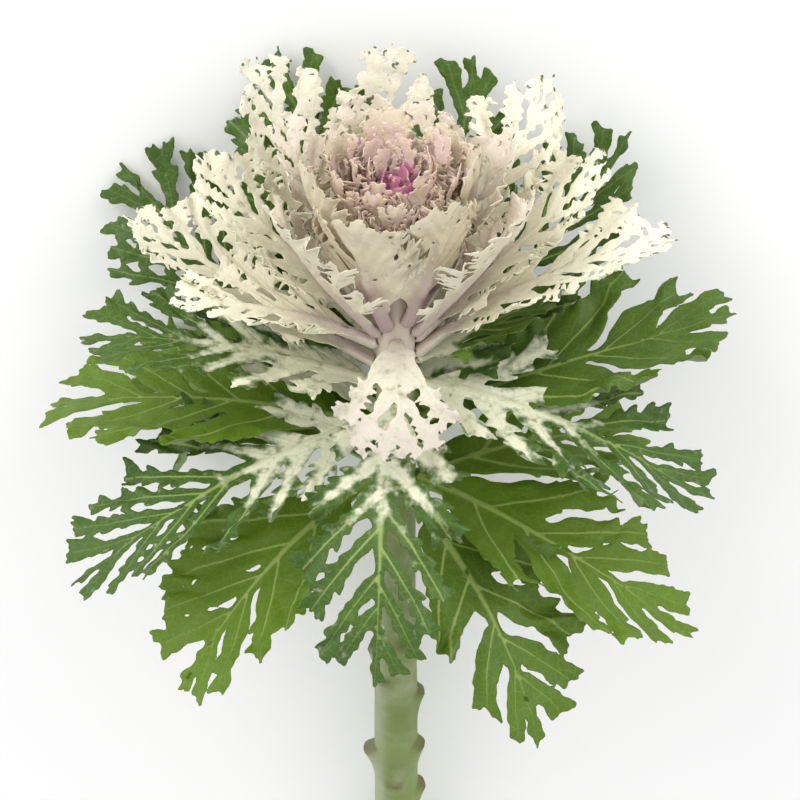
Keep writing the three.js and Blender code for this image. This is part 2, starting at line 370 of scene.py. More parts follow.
@dataclass(frozen=True)
class LeafFinish:
    """The finish of one ring's leaves: waxy leaf tissue, cream where it has no green.

    under_share: how much the underside's colour shows. relief: strength of the bump. bump_height: its height,
    in metres. waves: of the cloud, speckle, grain, fine net of veins and wax, to the metre.
    """

    name: str
    pale: Colour
    deep_green: Colour = srgb(63, 92, 32)
    fresh_green: Colour = srgb(92, 122, 24)
    vein: Colour = srgb(158, 178, 98)
    tip: Colour = srgb(52, 74, 30)
    blush: Colour = srgb(176, 146, 160)
    under: Colour = srgb(176, 190, 140)
    under_share: float = 0.25
    roughness: float = 0.46
    specular: float = 0.3
    relief: float = 0.35
    bump_height: float = 0.0005
    cloud_waves: float = 55.0
    speckle_waves: float = 240.0
    grain_waves: float = 420.0
    net_waves: float = 300.0
    wax_waves: float = 160.0

    def material(self) -> bpy.types.Material:
        """Makes the material.

        The blade runs from the pale colour to green with the painted green amount, broken up by noise. Veins,
        the underside's own colour, blush and dark finger ends are laid over it. Grain varies its tone, and
        painted shade darkens the leaves that lie open to more light. Noise, the fine net of veins and the
        painted veins drive the bump, and wax makes the roughness uneven.

        Returns:
            The material, which reads the amounts that Ring paints.
        """
        sheet = Sheet(self.name)
        cloud = sheet.noise(self.cloud_waves)
        grain = sheet.noise(self.grain_waves, 4.0)
        net = sheet.net(self.net_waves).rise(0.0, 0.1)
        patch = (cloud - 0.5) * 0.4 + (sheet.noise(self.speckle_waves, 2.0) - 0.5) * 1.5
        green = (sheet.painted("green") + patch * sheet.painted("mottle")).rise(0.15, 0.85)
        tone = sheet.painted("tone") + (cloud - 0.5) * 0.7
        leaf_green = sheet.mix(tone, self.deep_green, self.fresh_green)
        leaf_green = sheet.mix((1.0 - net) * 0.1, leaf_green, self.vein)
        colour = sheet.mix(green, self.pale, leaf_green)
        vein = sheet.painted("vein").rise(0.4, 0.92)
        colour = sheet.mix(vein * (0.1 + 0.65 * green), colour, self.vein)
        colour = sheet.mix(sheet.painted("under") * self.under_share, colour, self.under)
        colour = sheet.mix(sheet.painted("blush") * (0.55 + 0.6 * cloud), colour, self.blush)
        colour = sheet.mix(sheet.painted("tip").rise(0.3, 0.6) * 0.9, colour, self.tip)
        # The painted amount subtracted here is painted shade: it darkens the colour of leaves that lie open
        # to more light.
        shade = 0.9 + 0.2 * grain - sheet.painted("dull")
        tint = sheet.add("ShaderNodeCombineColor", {}, {0: shade, 1: shade, 2: shade}).outputs[0]
        colour = sheet.mix(1.0, colour, tint, "MULTIPLY")
        sheet.feed(sheet.shader.inputs["Base Color"], colour)
        wax = 0.2 * sheet.noise(self.wax_waves)
        sheet.feed(sheet.shader.inputs["Roughness"], self.roughness - 0.1 + wax)
        height = net * 0.4 + grain * 0.4 + vein * 0.6
        bump = {"Height": height, "Strength": self.relief, "Distance": self.bump_height}
        sheet.feed(sheet.shader.inputs["Normal"], sheet.add("ShaderNodeBump", {}, bump).outputs[0])
        sheet.shader.inputs["Specular IOR Level"].default_value = self.specular
        return sheet.material


@dataclass(frozen=True)
class Cut:
    """How one kind of leaf is cut, as shares of the leaf's own sizes unless millimetres are named.

    spacing: from one side vein to the next along the midrib, mm.
    start, end: where along the midrib the first and the last side vein leave it.
    foot_angle, tip_angle: their angle to the midrib there, in degrees.
    web: the blade's half width along a side vein, as a share of half the way to the next.
    opens, closes: how far along a side vein the blade starts to part into lobes, and has parted.
    rib_web: half width of the blade along the midrib, mm.
    fingers: how many stand on each side of a side vein.
    finger: how far they stand out on a leaf 30 mm to a side, mm.
    tip: radius of the finger ends, mm.
    vein: half width of a side vein, mm.
    soft: rounding of the notches, mm.
    cell: size of the mesh's triangles, mm.
    bend: how far a side vein turns towards the tip, in degrees.
    swell: above 1, the leaf is widest past its middle.
    teeth, forks: length of a tooth as a share of its finger, and how many a finger has.
    lace: how much narrower the blade is along the lower side veins.
    meet: how far fingers reach of the way to the middle between side veins.
    fringe: how far along a side vein the fingers start.
    broad: half width of a finger's foot as a share of its length.
    lobe: width that a free lobe keeps, as a share of the blade's.
    """

    spacing: float
    start: float
    end: float
    foot_angle: float
    tip_angle: float
    web: float
    opens: float
    rib_web: float
    fingers: int
    finger: float
    tip: float
    vein: float = 1.0
    soft: float = 0.6
    cell: float = 0.9
    bend: float = 24.0
    swell: float = 1.5
    teeth: float = 0.45
    lace: float = 0.0
    closes: float = 1.0
    forks: int = 1
    meet: float = 1.0
    fringe: float = 0.25
    broad: float = 0.08
    lobe: float = 0.0

    def pairs(self, length: float) -> int:
        """How many side veins a leaf of a length has on each side, three at least."""
        return max(3, round(length * (self.end - self.start) / self.spacing))

    def scaled(self, coarse: float, full: float) -> "Cut":
        """The same cut with coarser triangles and a fuller blade."""
        return replace(self, cell=self.cell * coarse, web=self.web * full, rib_web=self.rib_web * full)


@dataclass(frozen=True)
class Habit:
    """How every leaf of the plant grows, whatever its cut.

    clear: gap between a leaf's foot and the stem, mm.
    floor_reach: height over the floor from which a blade's nearness to it counts, mm.
    floor_start: nearness at which the blade starts to turn its face straight up, mm.
    stations: points along a side vein; along the midrib there are twice as many, less one.
    trial, trial_points: length, in leaf lengths, and points of the path that looks for a side vein's end.
    stagger, foot_jitter: shifts of the side veins' feet along the midrib, as shares of their spacing.
    angle_jitter: of the side veins, in degrees.
    lengths: range of the share of the way to the outline that side veins run.
    shortest: side vein, as a share of the leaf's length.
    oval: power that makes the outline fuller than a sine.
    widest: half width of the blade along a side vein, as a share of the vein's length.
    lobe_end: how far along a side vein a free lobe starts to narrow.
    lace_middle: how far along the leaf lace leaves the blade as it is.
    sway, sway_wave: of the midrib to its sides, as a share of its length, and its wave in radians.
    stalk_foot, stalk_top: half widths of the stalk at its foot and where the blade starts, mm.
    rib: half width of the midrib's vein at its foot, mm.
    vein_end: share of a vein's half width that is left at its end.
    finger_stagger, finger_jitter, finger_shift: shifts of the fingers' feet, as shares of their spacing.
    finger_last, finger_range: where along a side vein the last finger stands, and where any may stand.
    finger_lean: range of the angle between a finger and its vein, in degrees.
    finger_turn: how far a finger turns back towards the tip, in degrees.
    finger_reach: range of a finger's own length.
    finger_least: length of a finger, in radii of its end.
    finger_scale: half width, or side vein length, of a leaf on which fingers are as long as named, mm.
    finger_broadest: length from which a finger's foot grows no broader, mm.
    finger_taper, tooth_taper: half widths along a finger and a tooth, as shares of the greatest.
    finger_vein, tooth_vein: half widths of their veins, as shares of the side veins'.
    tooth_lean, tooth_reach: the same ranges for a tooth.
    """

    clear: float = 1.0
    floor_reach: float = 30.0
    floor_start: float = 5.0
    stations: int = 9
    trial: float = 1.3
    trial_points: int = 200
    stagger: float = 0.12
    foot_jitter: float = 0.14
    angle_jitter: float = 3.0
    lengths: tuple[float, float] = (0.82, 1.06)
    shortest: float = 0.12
    oval: float = 0.6
    widest: float = 0.45
    lobe_end: float = 0.7
    lace_middle: float = 0.6
    sway: float = 0.012
    sway_wave: float = 5.0
    stalk_foot: float = 2.7
    stalk_top: float = 2.4
    rib: float = 3.0
    vein_end: float = 0.3
    finger_stagger: float = 0.22
    finger_jitter: float = 0.2
    finger_shift: float = 0.6
    finger_last: float = 0.96
    finger_range: tuple[float, float] = (0.15, 0.9)
    finger_lean: tuple[float, float] = (40.0, 60.0)
    finger_turn: float = 16.0
    finger_reach: tuple[float, float] = (0.6, 1.15)
    finger_least: float = 3.0
    finger_scale: float = 30.0
    finger_broadest: float = 12.0
    finger_taper: tuple[float, ...] = (1.0, 0.95, 0.6, 0.0)
    finger_vein: float = 0.35
    tooth_taper: tuple[float, ...] = (1.2, 1.05, 0.85)
    tooth_vein: float = 0.25
    tooth_lean: tuple[float, float] = (35.0, 60.0)
    tooth_reach: tuple[float, float] = (0.6, 1.2)


HABIT = Habit()


@dataclass
class Veins:
    """The veins of one leaf as straight pieces.

    Each has its ends, the blade's half widths there, its own half width, whether it is a main vein, and
    whether it ends in a free finger.
    """

    start: Array
    end: Array
    start_web: Array
    end_web: Array
    width: Array
    main: Array
    bare_end: Array

    @staticmethod
    def joined(parts: list["Veins"]) -> "Veins":
        """Joins several sets of veins into one."""
        names = ("start", "end", "start_web", "end_web", "width", "main", "bare_end")
        return Veins(*(np.concatenate([getattr(part, name) for part in parts]) for name in names))

    @staticmethod
    def along(path: Array, web: Array, width: float, main: bool, bare_end: bool) -> "Veins":
        """Cuts paths into straight pieces.

        Args:
            path: points, shape (paths, points, 2).
            web: blade half width at each point, shape (paths, points).
            width: vein half width at the paths' feet; it falls evenly to their ends.
            main: whether these are main veins, which the blade bulges between.
            bare_end: whether the paths end in free fingers.

        Returns:
            The pieces.
        """
        count, points = path.shape[:2]
        fall = width * np.linspace(1.0, HABIT.vein_end, points - 1)
        last = np.zeros((count, points - 1))
        last[:, -1] = bare_end
        return Veins(
            path[:, :-1].reshape(-1, 2),
            path[:, 1:].reshape(-1, 2),
            web[:, :-1].ravel(),
            web[:, 1:].ravel(),
            np.tile(fall, count),
            np.full(count * (points - 1), float(main)),
            last.ravel(),
        )


def bent_paths(foot: Array, heading: Array, length: Array, bend: Array, points: int) -> tuple[Array, Array]:
    """Paths that leave their feet at a heading and turn evenly by a bend over their length.

    Args:
        foot: where each starts, shape (n, 2).
        heading: angle to the midrib at the foot, in radians.
        length: of each path.
        bend: how far each turns, in radians.
        points: how many points each has.

    Returns:
        The points, shape (n, points, 2), and the heading at each.
    """
    share = np.linspace(0.0, 1.0, points)
    turned = heading[:, None] + bend[:, None] * share
    middle = (turned[:, 1:] + turned[:, :-1]) / 2
    step = (length / (points - 1))[:, None, None] * np.stack([np.cos(middle), np.sin(middle)], -1)
    walked = np.concatenate([np.zeros((len(foot), 1, 2)), np.cumsum(step, 1)], 1)
    return foot[:, None] + walked, turned


@dataclass(frozen=True)
class Leaf:
    """One leaf: where it grows, how its midrib runs, and how its blade is shaped and coloured.

    at: where it is in its ring.
    azimuth: 0 is the face, 90 the right, 180 the underside.
    base: its foot's height above the crown node.
    rise, tip_rise: slope of the midrib at its foot and tip, in degrees.
    half: greatest half width.
    pale: share of the leaf that stays cream before it turns green.
    tone: which green.
    ruffle: height of the margin's waves, mm.
    speckle: how much green shows in the cream.
    blush, flush: how mauve its stalk is, and how mauve or pink its blade.
    cup: how far its sides curl up, in degrees.
    rest: height at which it lies on others.
    coarse: how much larger its mesh's triangles are than the ring's.
    full: how much fuller its blade is.
    dull: painted shade, a darkening of its blade's colour on leaves that lie open to more light.
    """

    at: str
    azimuth: float
    base: float
    length: float
    rise: float
    tip_rise: float
    half: float
    pale: float = -1.0
    tone: Tone = Tone.MIDDLE
    ruffle: float = 3.0
    speckle: float = 0.0
    blush: float = 0.0
    flush: float = 0.0
    cup: float = 25.0
    rest: float = 0.6
    coarse: float = 1.0
    full: float = 1.0
    # Painted shade: darkens the blade's colour where the leaf lies open to more light than its neighbours.
    dull: float = 0.0

    def outward(self) -> Array:
        """The direction away from the stem."""
        turn = np.radians(self.azimuth)
        return np.array([np.sin(turn), -np.cos(turn), 0.0])

    def midrib(self, steps: int = 96, floor_ease: float = 10.0) -> tuple[Array, Array]:
        """Points and directions along the midrib.

        Its slope runs evenly from rise to tip_rise. Close to the floor its fall is held to the height that is
        left over floor_ease, so that it levels out and lies along the floor.

        Args:
            steps: how many steps it is walked in.
            floor_ease: height over which it levels out.

        Returns:
            The points and the unit directions at steps + 1 stations.
        """
        out = self.outward()
        point = out * (float(LAY.radius(self.base)) + HABIT.clear)
        point[2] = self.base
        slopes = np.radians(np.linspace(self.rise, self.tip_rise, steps + 1))
        points, directions = [], []
        for slope in slopes:
            direction = out * np.cos(slope) + LAY.axis * np.sin(slope)
            fall = float(direction @ LAY.up)
            slowest = -(float(LAY.height(point)) - self.rest) / floor_ease
            if fall < slowest:
                level = unit(direction - LAY.up * fall)
                direction = level * np.sqrt(1.0 - slowest**2) + LAY.up * slowest
            points.append(point)
            directions.append(direction)
            point = point + direction * (self.length / steps)
        return np.array(points), np.array(directions)

    def veins(self, cut: Cut, rng: np.random.Generator) -> Veins:
        """Grows the leaf's veins flat, x along the midrib from its foot and y across.

        Side veins leave the midrib in pairs, bend towards its tip and end on an oval outline. The blade along
        each is as wide as half the way to its neighbours, and narrows where the lobes part. Fingers leave the
        side veins and the midrib's end on both sides, and a tooth leaves each finger.

        Args:
            cut: how this kind of leaf is cut.
            rng: seeded source of the leaf's own unevenness.

        Returns:
            All the veins with the blade's half width along them.
        """
        pairs = cut.pairs(self.length)
        many = 2 * pairs
        side = np.repeat([-1.0, 1.0], pairs)
        order = np.tile((np.arange(pairs) + 0.5) / pairs, 2) + side * HABIT.stagger / pairs
        jitter = rng.uniform(-HABIT.foot_jitter, HABIT.foot_jitter, many)
        order = np.clip(order + jitter / pairs, 0.0, 1.0)
        angle = cut.foot_angle + (cut.tip_angle - cut.foot_angle) * order
        angle = angle + rng.normal(0.0, HABIT.angle_jitter, many)
        foot = np.stack([(cut.start + (cut.end - cut.start) * order) * self.length, np.zeros(many)], 1)
        heading, bend = np.radians(angle) * side, -np.radians(cut.bend) * side
        farthest = HABIT.trial * self.length
        trial, _ = bent_paths(foot, heading, np.full(many, farthest), bend, HABIT.trial_points)
        share = trial[..., 0] / self.length
        oval = np.sin(np.pi * np.clip(share, 0.0, 1.0) ** cut.swell) ** HABIT.oval
        past = np.abs(trial[..., 1]) > self.half * np.where(share < 1.0, oval, 0.0)
        ends = past.argmax(1) / (HABIT.trial_points - 1.0)
        length = farthest * ends * rng.uniform(*HABIT.lengths, many)
        length = np.maximum(length, HABIT.shortest * self.length)
        path, turned = bent_paths(foot, heading, length, bend * length / farthest, HABIT.stations)

        half_way = HABIT.stations - 1
        ribs = np.linspace(0.0, 1.0, 2 * half_way + 1)
        sway = HABIT.sway * self.length * np.sin(ribs * HABIT.sway_wave + rng.uniform(0, 6)) * ribs
        rib = np.stack([ribs * self.length, sway], -1)
        # The midrib's outer half is parted and fingered as one more side vein.
        paths = np.concatenate([path, rib[None, half_way:]])
        turned = np.concatenate([turned, np.zeros((1, HABIT.stations))])
        length = np.append(length, self.length / 2)
        room = self.room(paths, np.append(side, 0.0))
        along = np.linspace(0.0, 1.0, HABIT.stations)
        parting = 1.0 - smoothstep(cut.opens, cut.closes, along)
        parting = np.maximum(parting, cut.lobe * (1.0 - smoothstep(HABIT.lobe_end, 1.0, along)))
        fuller = (1.0 + cut.lace * (np.append(order, 1.0) - HABIT.lace_middle))[:, None]
        most = HABIT.widest * length[:, None]
        web = cut.tip + np.minimum(cut.web * fuller * room, most) * parting
        parts = [Veins.along(path, web[:-1], cut.vein, True, True)]

        stalk = np.interp(ribs, [0.0, cut.start, 1.0], [HABIT.stalk_foot, HABIT.stalk_top, cut.tip])
        swelling = cut.rib_web * np.sin(np.pi * smoothstep(0.5 * cut.start, 1.35, ribs)) ** 0.8
        rib_web = np.maximum(stalk + swelling, cut.tip)
        outer_web = np.minimum(web[-1], rib_web[half_way:] * 1.5)
        rib_web[half_way:] = np.maximum(outer_web, cut.tip)
        midrib = Veins.along(rib[None], rib_web[None], 1.0, True, True)
        midrib.width = np.maximum(HABIT.rib * (1.0 - ribs[1:]), 0.6 * cut.vein)
        parts.append(midrib)
        for hand in (-1.0, 1.0):
            parts += self.fingers(cut, rng, hand, paths, turned, web, room, length)
        return Veins.joined(parts)

    def room(self, paths: Array, side: Array) -> Array:
        """Half the way from each point of the side veins to the nearest neighbour on the same side.

        Args:
            paths: side veins and, last, the midrib's end, shape (paths, points, 2).
            side: -1 or 1 for each, 0 for the midrib's end.

        Returns:
            The distances, shape (paths, points).
        """
        gaps = np.linalg.norm(paths[:, :, None, None] - paths[None, None], axis=-1).min(-1)
        apart = (side[:, None] * side[None] < 0) | np.eye(len(side), dtype=bool)
        gaps = np.where(apart[:, None, :], np.inf, gaps)
        return 0.5 * gaps.min(-1)

    def fingers(
        self,
        cut: Cut,
        rng: np.random.Generator,
        hand: float,
        paths: Array,
        turned: Array,
        web: Array,
        room: Array,
        length: Array,
    ) -> list[Veins]:
        """Grows the fingers and teeth on one side of the side veins.

        Args:
            cut: how this kind of leaf is cut.
            rng: seeded source of unevenness.
            hand: -1 or 1, the side they leave from.
            paths: the side veins.
            turned: their heading at each point.
            web: the blade's half width at each point.
            room: half the way to their neighbours at each point.
            length: of each side vein.

        Returns:
            The fingers and the teeth.
        """
        many, size = len(paths), (len(paths), cut.fingers)
        order = np.arange(cut.fingers) + 0.5 + HABIT.finger_stagger * hand
        share = cut.fringe + (HABIT.finger_last - cut.fringe) * order / cut.fingers
        jitter = rng.uniform(-HABIT.finger_jitter, HABIT.finger_jitter, size)
        share = np.clip(share + jitter * HABIT.finger_shift / cut.fingers, *HABIT.finger_range)
        spot = share * (HABIT.stations - 1)
        low = np.minimum(spot.astype(int), HABIT.stations - 2)
        at, blend = np.arange(many)[:, None], spot - low
        foot = paths[at, low] * (1.0 - blend[..., None]) + paths[at, low + 1] * blend[..., None]
        lean = np.radians(rng.uniform(*HABIT.finger_lean, size))
        scale = np.minimum(self.half / HABIT.finger_scale, length[:, None] / HABIT.finger_scale)
        free = cut.finger * scale * (1.25 - 0.5 * share)
        reach = np.minimum(web[at, low] + free, cut.meet * room[at, low] / np.sin(lean))
        reach = np.maximum(reach * rng.uniform(*HABIT.finger_reach, size), HABIT.finger_least * cut.tip)
        reach = reach.ravel()
        heading = turned[at, low] + hand * lean
        turn_in = np.full(many * cut.fingers, -hand * np.radians(HABIT.finger_turn))
        points = len(HABIT.finger_taper)
        path, headings = bent_paths(foot.reshape(-1, 2), heading.ravel(), reach, turn_in, points)
        wide = np.minimum(cut.broad * reach, HABIT.finger_broadest * cut.broad)
        finger_web = cut.tip + np.outer(wide, HABIT.finger_taper)
        parts = [Veins.along(path, finger_web, HABIT.finger_vein * cut.vein, False, True)]
        tooth_web = np.tile(cut.tip * np.array(HABIT.tooth_taper), (len(path), 1))
        for fork in range(cut.forks):
            away = hand if fork else -hand
            lean = np.radians(rng.uniform(*HABIT.tooth_lean, len(path)))
            tooth_turn = headings[:, fork + 1] + away * lean
            tooth_reach = cut.teeth * reach * rng.uniform(*HABIT.tooth_reach, len(path)) + cut.tip
            points = len(HABIT.tooth_taper)
            tooth, _ = bent_paths(path[:, fork + 1], tooth_turn, tooth_reach, -turn_in, points)
            parts.append(Veins.along(tooth, tooth_web, HABIT.tooth_vein * cut.vein, False, True))
        return parts

    def place(self, x: Array, y: Array, lift: Array) -> Array:
        """Carries flat leaf points onto the curved leaf.

        The midrib's station at x gives the point, its direction and the blade's sideways and upper-face
        directions; y is bent round an arc that curls the sides up by cup at the greatest half width, and lift
        moves the point along the upper face. A blade close to the floor turns its face straight up.

        Args:
            x: distance along the midrib.
            y: distance across it.
            lift: height above the smooth blade.

        Returns:
            The points in the plant frame.
        """
        points, directions = self.midrib()
        across = np.cross(LAY.axis, self.outward())
        face = np.cross(directions, across)
        sunk = HABIT.floor_reach - LAY.height(points)
        level = smoothstep(HABIT.floor_start, HABIT.floor_reach, sunk)[:, None]
        face = face * (1.0 - level) + LAY.up * level
        face = unit(face - directions * (face * directions).sum(1, keepdims=True))
        side = unit(np.cross(face, directions))
        share = np.clip(x / self.length, 0.0, 1.0) * (len(points) - 1)
        low = np.minimum(share.astype(int), len(points) - 2)
        blend = (share - low)[:, None]

        def pick(rows: Array) -> Array:
            """What the midrib's stations say, blended at each point."""
            return rows[low] * (1.0 - blend) + rows[low + 1] * blend

        beyond = np.maximum(x - self.length, 0.0)[:, None]
        curl = np.radians(self.cup) * (1.0 - pick(level)[:, 0]) / self.half + TINY
        sideways = np.sin(y * curl) / curl
        upwards = (1.0 - np.cos(y * curl)) / curl + lift
        middle = pick(points) + unit(pick(directions)) * beyond
        return middle + unit(pick(side)) * sideways[:, None] + unit(pick(face)) * upwards[:, None]


@dataclass
class Lattice:
    """A lattice of equal triangles over a flat leaf, with the depth, veins and finger ends at each point.

    PAD: how far the lattice passes the blade, mm. REACH: how far a vein's capsule counts, in notch roundings.
    LINE: least half width of a drawn vein, in cells. FAINT: strength of veins that are not main ones.
    SNAP: how close points are moved onto a main vein, in cells. TIP: how far a finger's marked end passes
    its radius, mm. SPLINTER: how close to a corner an edge may be cut, as a share of the edge.
    """

    PAD: ClassVar[float] = 3.0
    REACH: ClassVar[float] = 5.0
    LINE: ClassVar[float] = 0.7
    FAINT: ClassVar[float] = 0.4
    SNAP: ClassVar[float] = 0.48
    TIP: ClassVar[float] = 0.6
    SPLINTER: ClassVar[float] = 0.15

    x: Array
    y: Array
    depth: Array
    vein: Array
    near: Array
    bare: Array

    @staticmethod
    def over(veins: Veins, cut: Cut) -> "Lattice":
        """Measures a leaf on a lattice.

        Every vein is a capsule whose half width runs from one end's to the other's. The distance to each is
        joined by the rounded minimum -soft * log(sum(exp(-distance / soft))), which is below 0 in the blade.
        Points close to a main vein are moved onto its middle, so that it is drawn as an unbroken line.

        Args:
            veins: the leaf's veins.
            cut: gives the lattice's cell and the rounding.

        Returns:
            The lattice, with rows offset by half a cell in turn.
        """
        cell = cut.cell
        ends = np.concatenate([veins.start, veins.end])
        widest = max(veins.start_web.max(), veins.end_web.max()) + Lattice.PAD
        low, high = ends.min(0) - widest, ends.max(0) + widest
        row = cell * np.sqrt(0.75)
        columns = int(np.ceil((high[0] - low[0]) / cell)) + 2
        rows = int(np.ceil((high[1] - low[1]) / row)) + 2
        y, x = np.mgrid[0:rows, 0:columns].astype(float)
        x = low[0] + cell * (x + 0.5 * (y % 2))
        y = low[1] + row * y
        total = np.full(x.shape, 1e-30)
        vein = np.zeros(x.shape)
        near = np.full(x.shape, 1e3)
        bare = np.zeros(x.shape)
        pull = np.zeros((2, *x.shape))
        for a, b, ra, rb, width, main, ends_bare in zip(
            veins.start, veins.end, veins.start_web, veins.end_web, veins.width, veins.main, veins.bare_end
        ):
            margin = max(ra, rb) + Lattice.REACH * cut.soft
            corner = np.minimum(a, b) - margin
            other = np.maximum(a, b) + margin
            left = max(int((corner[0] - low[0]) / cell) - 1, 0)
            right = int((other[0] - low[0]) / cell) + 2
            bottom = max(int((corner[1] - low[1]) / row), 0)
            top = int((other[1] - low[1]) / row) + 2
            spot = np.s_[bottom:top, left:right]
            dx, dy = x[spot] - a[0], y[spot] - a[1]
            run = b - a
            share = np.clip((dx * run[0] + dy * run[1]) / max(run @ run, 1e-9), 0.0, 1.0)
            off = np.stack([share * run[0] - dx, share * run[1] - dy])
            gap = np.hypot(*off)
            total[spot] += np.exp(-(gap - ra - (rb - ra) * share) / cut.soft)
            line = max(width, Lattice.LINE * cell)
            strength = Lattice.FAINT + (1.0 - Lattice.FAINT) * main
            vein[spot] = np.maximum(vein[spot], np.exp(-((gap / line) ** 2)) * strength)
            if main:
                both = np.s_[:, bottom:top, left:right]
                pull[both] = np.where(gap < near[spot], off, pull[both])
                near[spot] = np.minimum(near[spot], gap)
            if ends_bare:
                past = np.hypot(x[spot] - b[0], y[spot] - b[1])
                bare[spot] = np.maximum(bare[spot], np.exp(-((past / (rb + Lattice.TIP)) ** 2)))
        close = near < Lattice.SNAP * cell
        x, y = x + pull[0] * close, y + pull[1] * close
        vein = np.where(close, 1.0, vein)
        return Lattice(x, y, -cut.soft * np.log(total), vein, near, bare)

    def trimmed(self) -> tuple[Array, Array, Array]:
        """Cuts the lattice's triangles along the blade's outline, where depth is 0.

        A triangle with one or two corners inside is cut at the crossings of its edges. Crossings keep a
        little away from the corners, so that no triangle is a splinter.

        Returns:
            Flat points with their amounts (x, y, depth, vein, near, bare), triangles, and outline edges.
        """
        rows, columns = self.x.shape
        number = np.arange(rows * columns).reshape(rows, columns)
        a, b = number[:-1, :-1], number[:-1, 1:]
        c, d = number[1:, :-1], number[1:, 1:]
        even = (np.arange(rows - 1) % 2 == 0)[:, None]
        first = np.stack([a, b, np.where(even, c, d)], -1)
        second = np.stack([np.where(even, b, a), d, c], -1)
        triangles = np.concatenate([first.reshape(-1, 3), second.reshape(-1, 3)])
        values = np.stack([self.x, self.y, self.depth, self.vein, self.near, self.bare], -1).reshape(-1, 6)
        inside = values[:, 2] < 0.0
        count = inside[triangles].sum(1)
        whole = triangles[count == 3]
        # Each cut triangle is turned so that its odd corner comes first.
        odd_in = triangles[count == 1]
        odd_out = triangles[count == 2]
        odd_in = np.take_along_axis(odd_in, (inside[odd_in].argmax(1)[:, None] + np.arange(3)) % 3, 1)
        odd_out = np.take_along_axis(odd_out, ((~inside[odd_out]).argmax(1)[:, None] + np.arange(3)) % 3, 1)
        edges = np.concatenate([odd_in[:, [0, 1]], odd_in[:, [0, 2]], odd_out[:, [1, 0]], odd_out[:, [2, 0]]])
        keys, which = np.unique(edges[:, 0] * len(values) + edges[:, 1], return_inverse=True)
        keep, drop = keys // len(values), keys % len(values)
        share = values[keep, 2] / (values[keep, 2] - values[drop, 2])
        share = np.clip(share, self.SPLINTER, 1.0 - self.SPLINTER)[:, None]
        crossing = values[keep] * (1.0 - share) + values[drop] * share
        crossing[:, 2] = 0.0
        which = which + len(values)
        one, two = len(odd_in), len(odd_out)
        p, q = which[:one], which[one : 2 * one]
        r, s = which[2 * one : 2 * one + two], which[2 * one + two :]
        tips = np.stack([odd_in[:, 0], p, q], 1)
        lower = np.stack([odd_out[:, 1], odd_out[:, 2], s], 1)
        upper = np.stack([odd_out[:, 1], s, r], 1)
        triangles = np.concatenate([whole, tips, lower, upper])
        return compact(np.concatenate([values, crossing]), triangles)


def compact(values: Array, triangles: Array) -> tuple[Array, Array, Array]:
    """Keeps the largest joined patch of triangles, numbers its points afresh and finds its outline.

    Labels spread along edges: each point takes the smallest label of its neighbours until none changes.

    Args:
        values: one row of numbers for each point.
        triangles: point numbers.

    Returns:
        The kept rows, the triangles and the outline's edges, each running the way its triangle does.
    """
    sides = np.concatenate([triangles[:, [0, 1]], triangles[:, [1, 2]], triangles[:, [2, 0]]])
    label = np.arange(len(values))
    while True:
        fresh = label.copy()
        np.minimum.at(fresh, sides[:, 0], label[sides[:, 1]])
        np.minimum.at(fresh, sides[:, 1], label[sides[:, 0]])
        fresh = fresh[fresh]
        if (fresh == label).all():
            break
        label = fresh
    patch = label[triangles[:, 0]]
    triangles = triangles[patch == np.bincount(patch).argmax()]
    used, triangles = np.unique(triangles, return_inverse=True)
    triangles = triangles.reshape(-1, 3)
    sides = np.concatenate([triangles[:, [0, 1]], triangles[:, [1, 2]], triangles[:, [2, 0]]])
    ahead = sides[:, 0] * len(used) + sides[:, 1]
    back = sides[:, 1] * len(used) + sides[:, 0]
    return values[used], triangles, sides[~np.isin(ahead, back)]


def point_normals(points: Array, triangles: Array) -> Array:
    """Unit normals at points, as the sum of the triangles' cross products round each.

    Args:
        points: their places.
        triangles: point numbers.

    Returns:
        One unit vector for each point.
    """
    corners = points[triangles]
    cross = np.cross(corners[:, 1] - corners[:, 0], corners[:, 2] - corners[:, 0])
    total = [np.bincount(triangles.ravel(), np.repeat(cross[:, k], 3), len(points)) for k in range(3)]
    return unit(np.stack(total, 1))


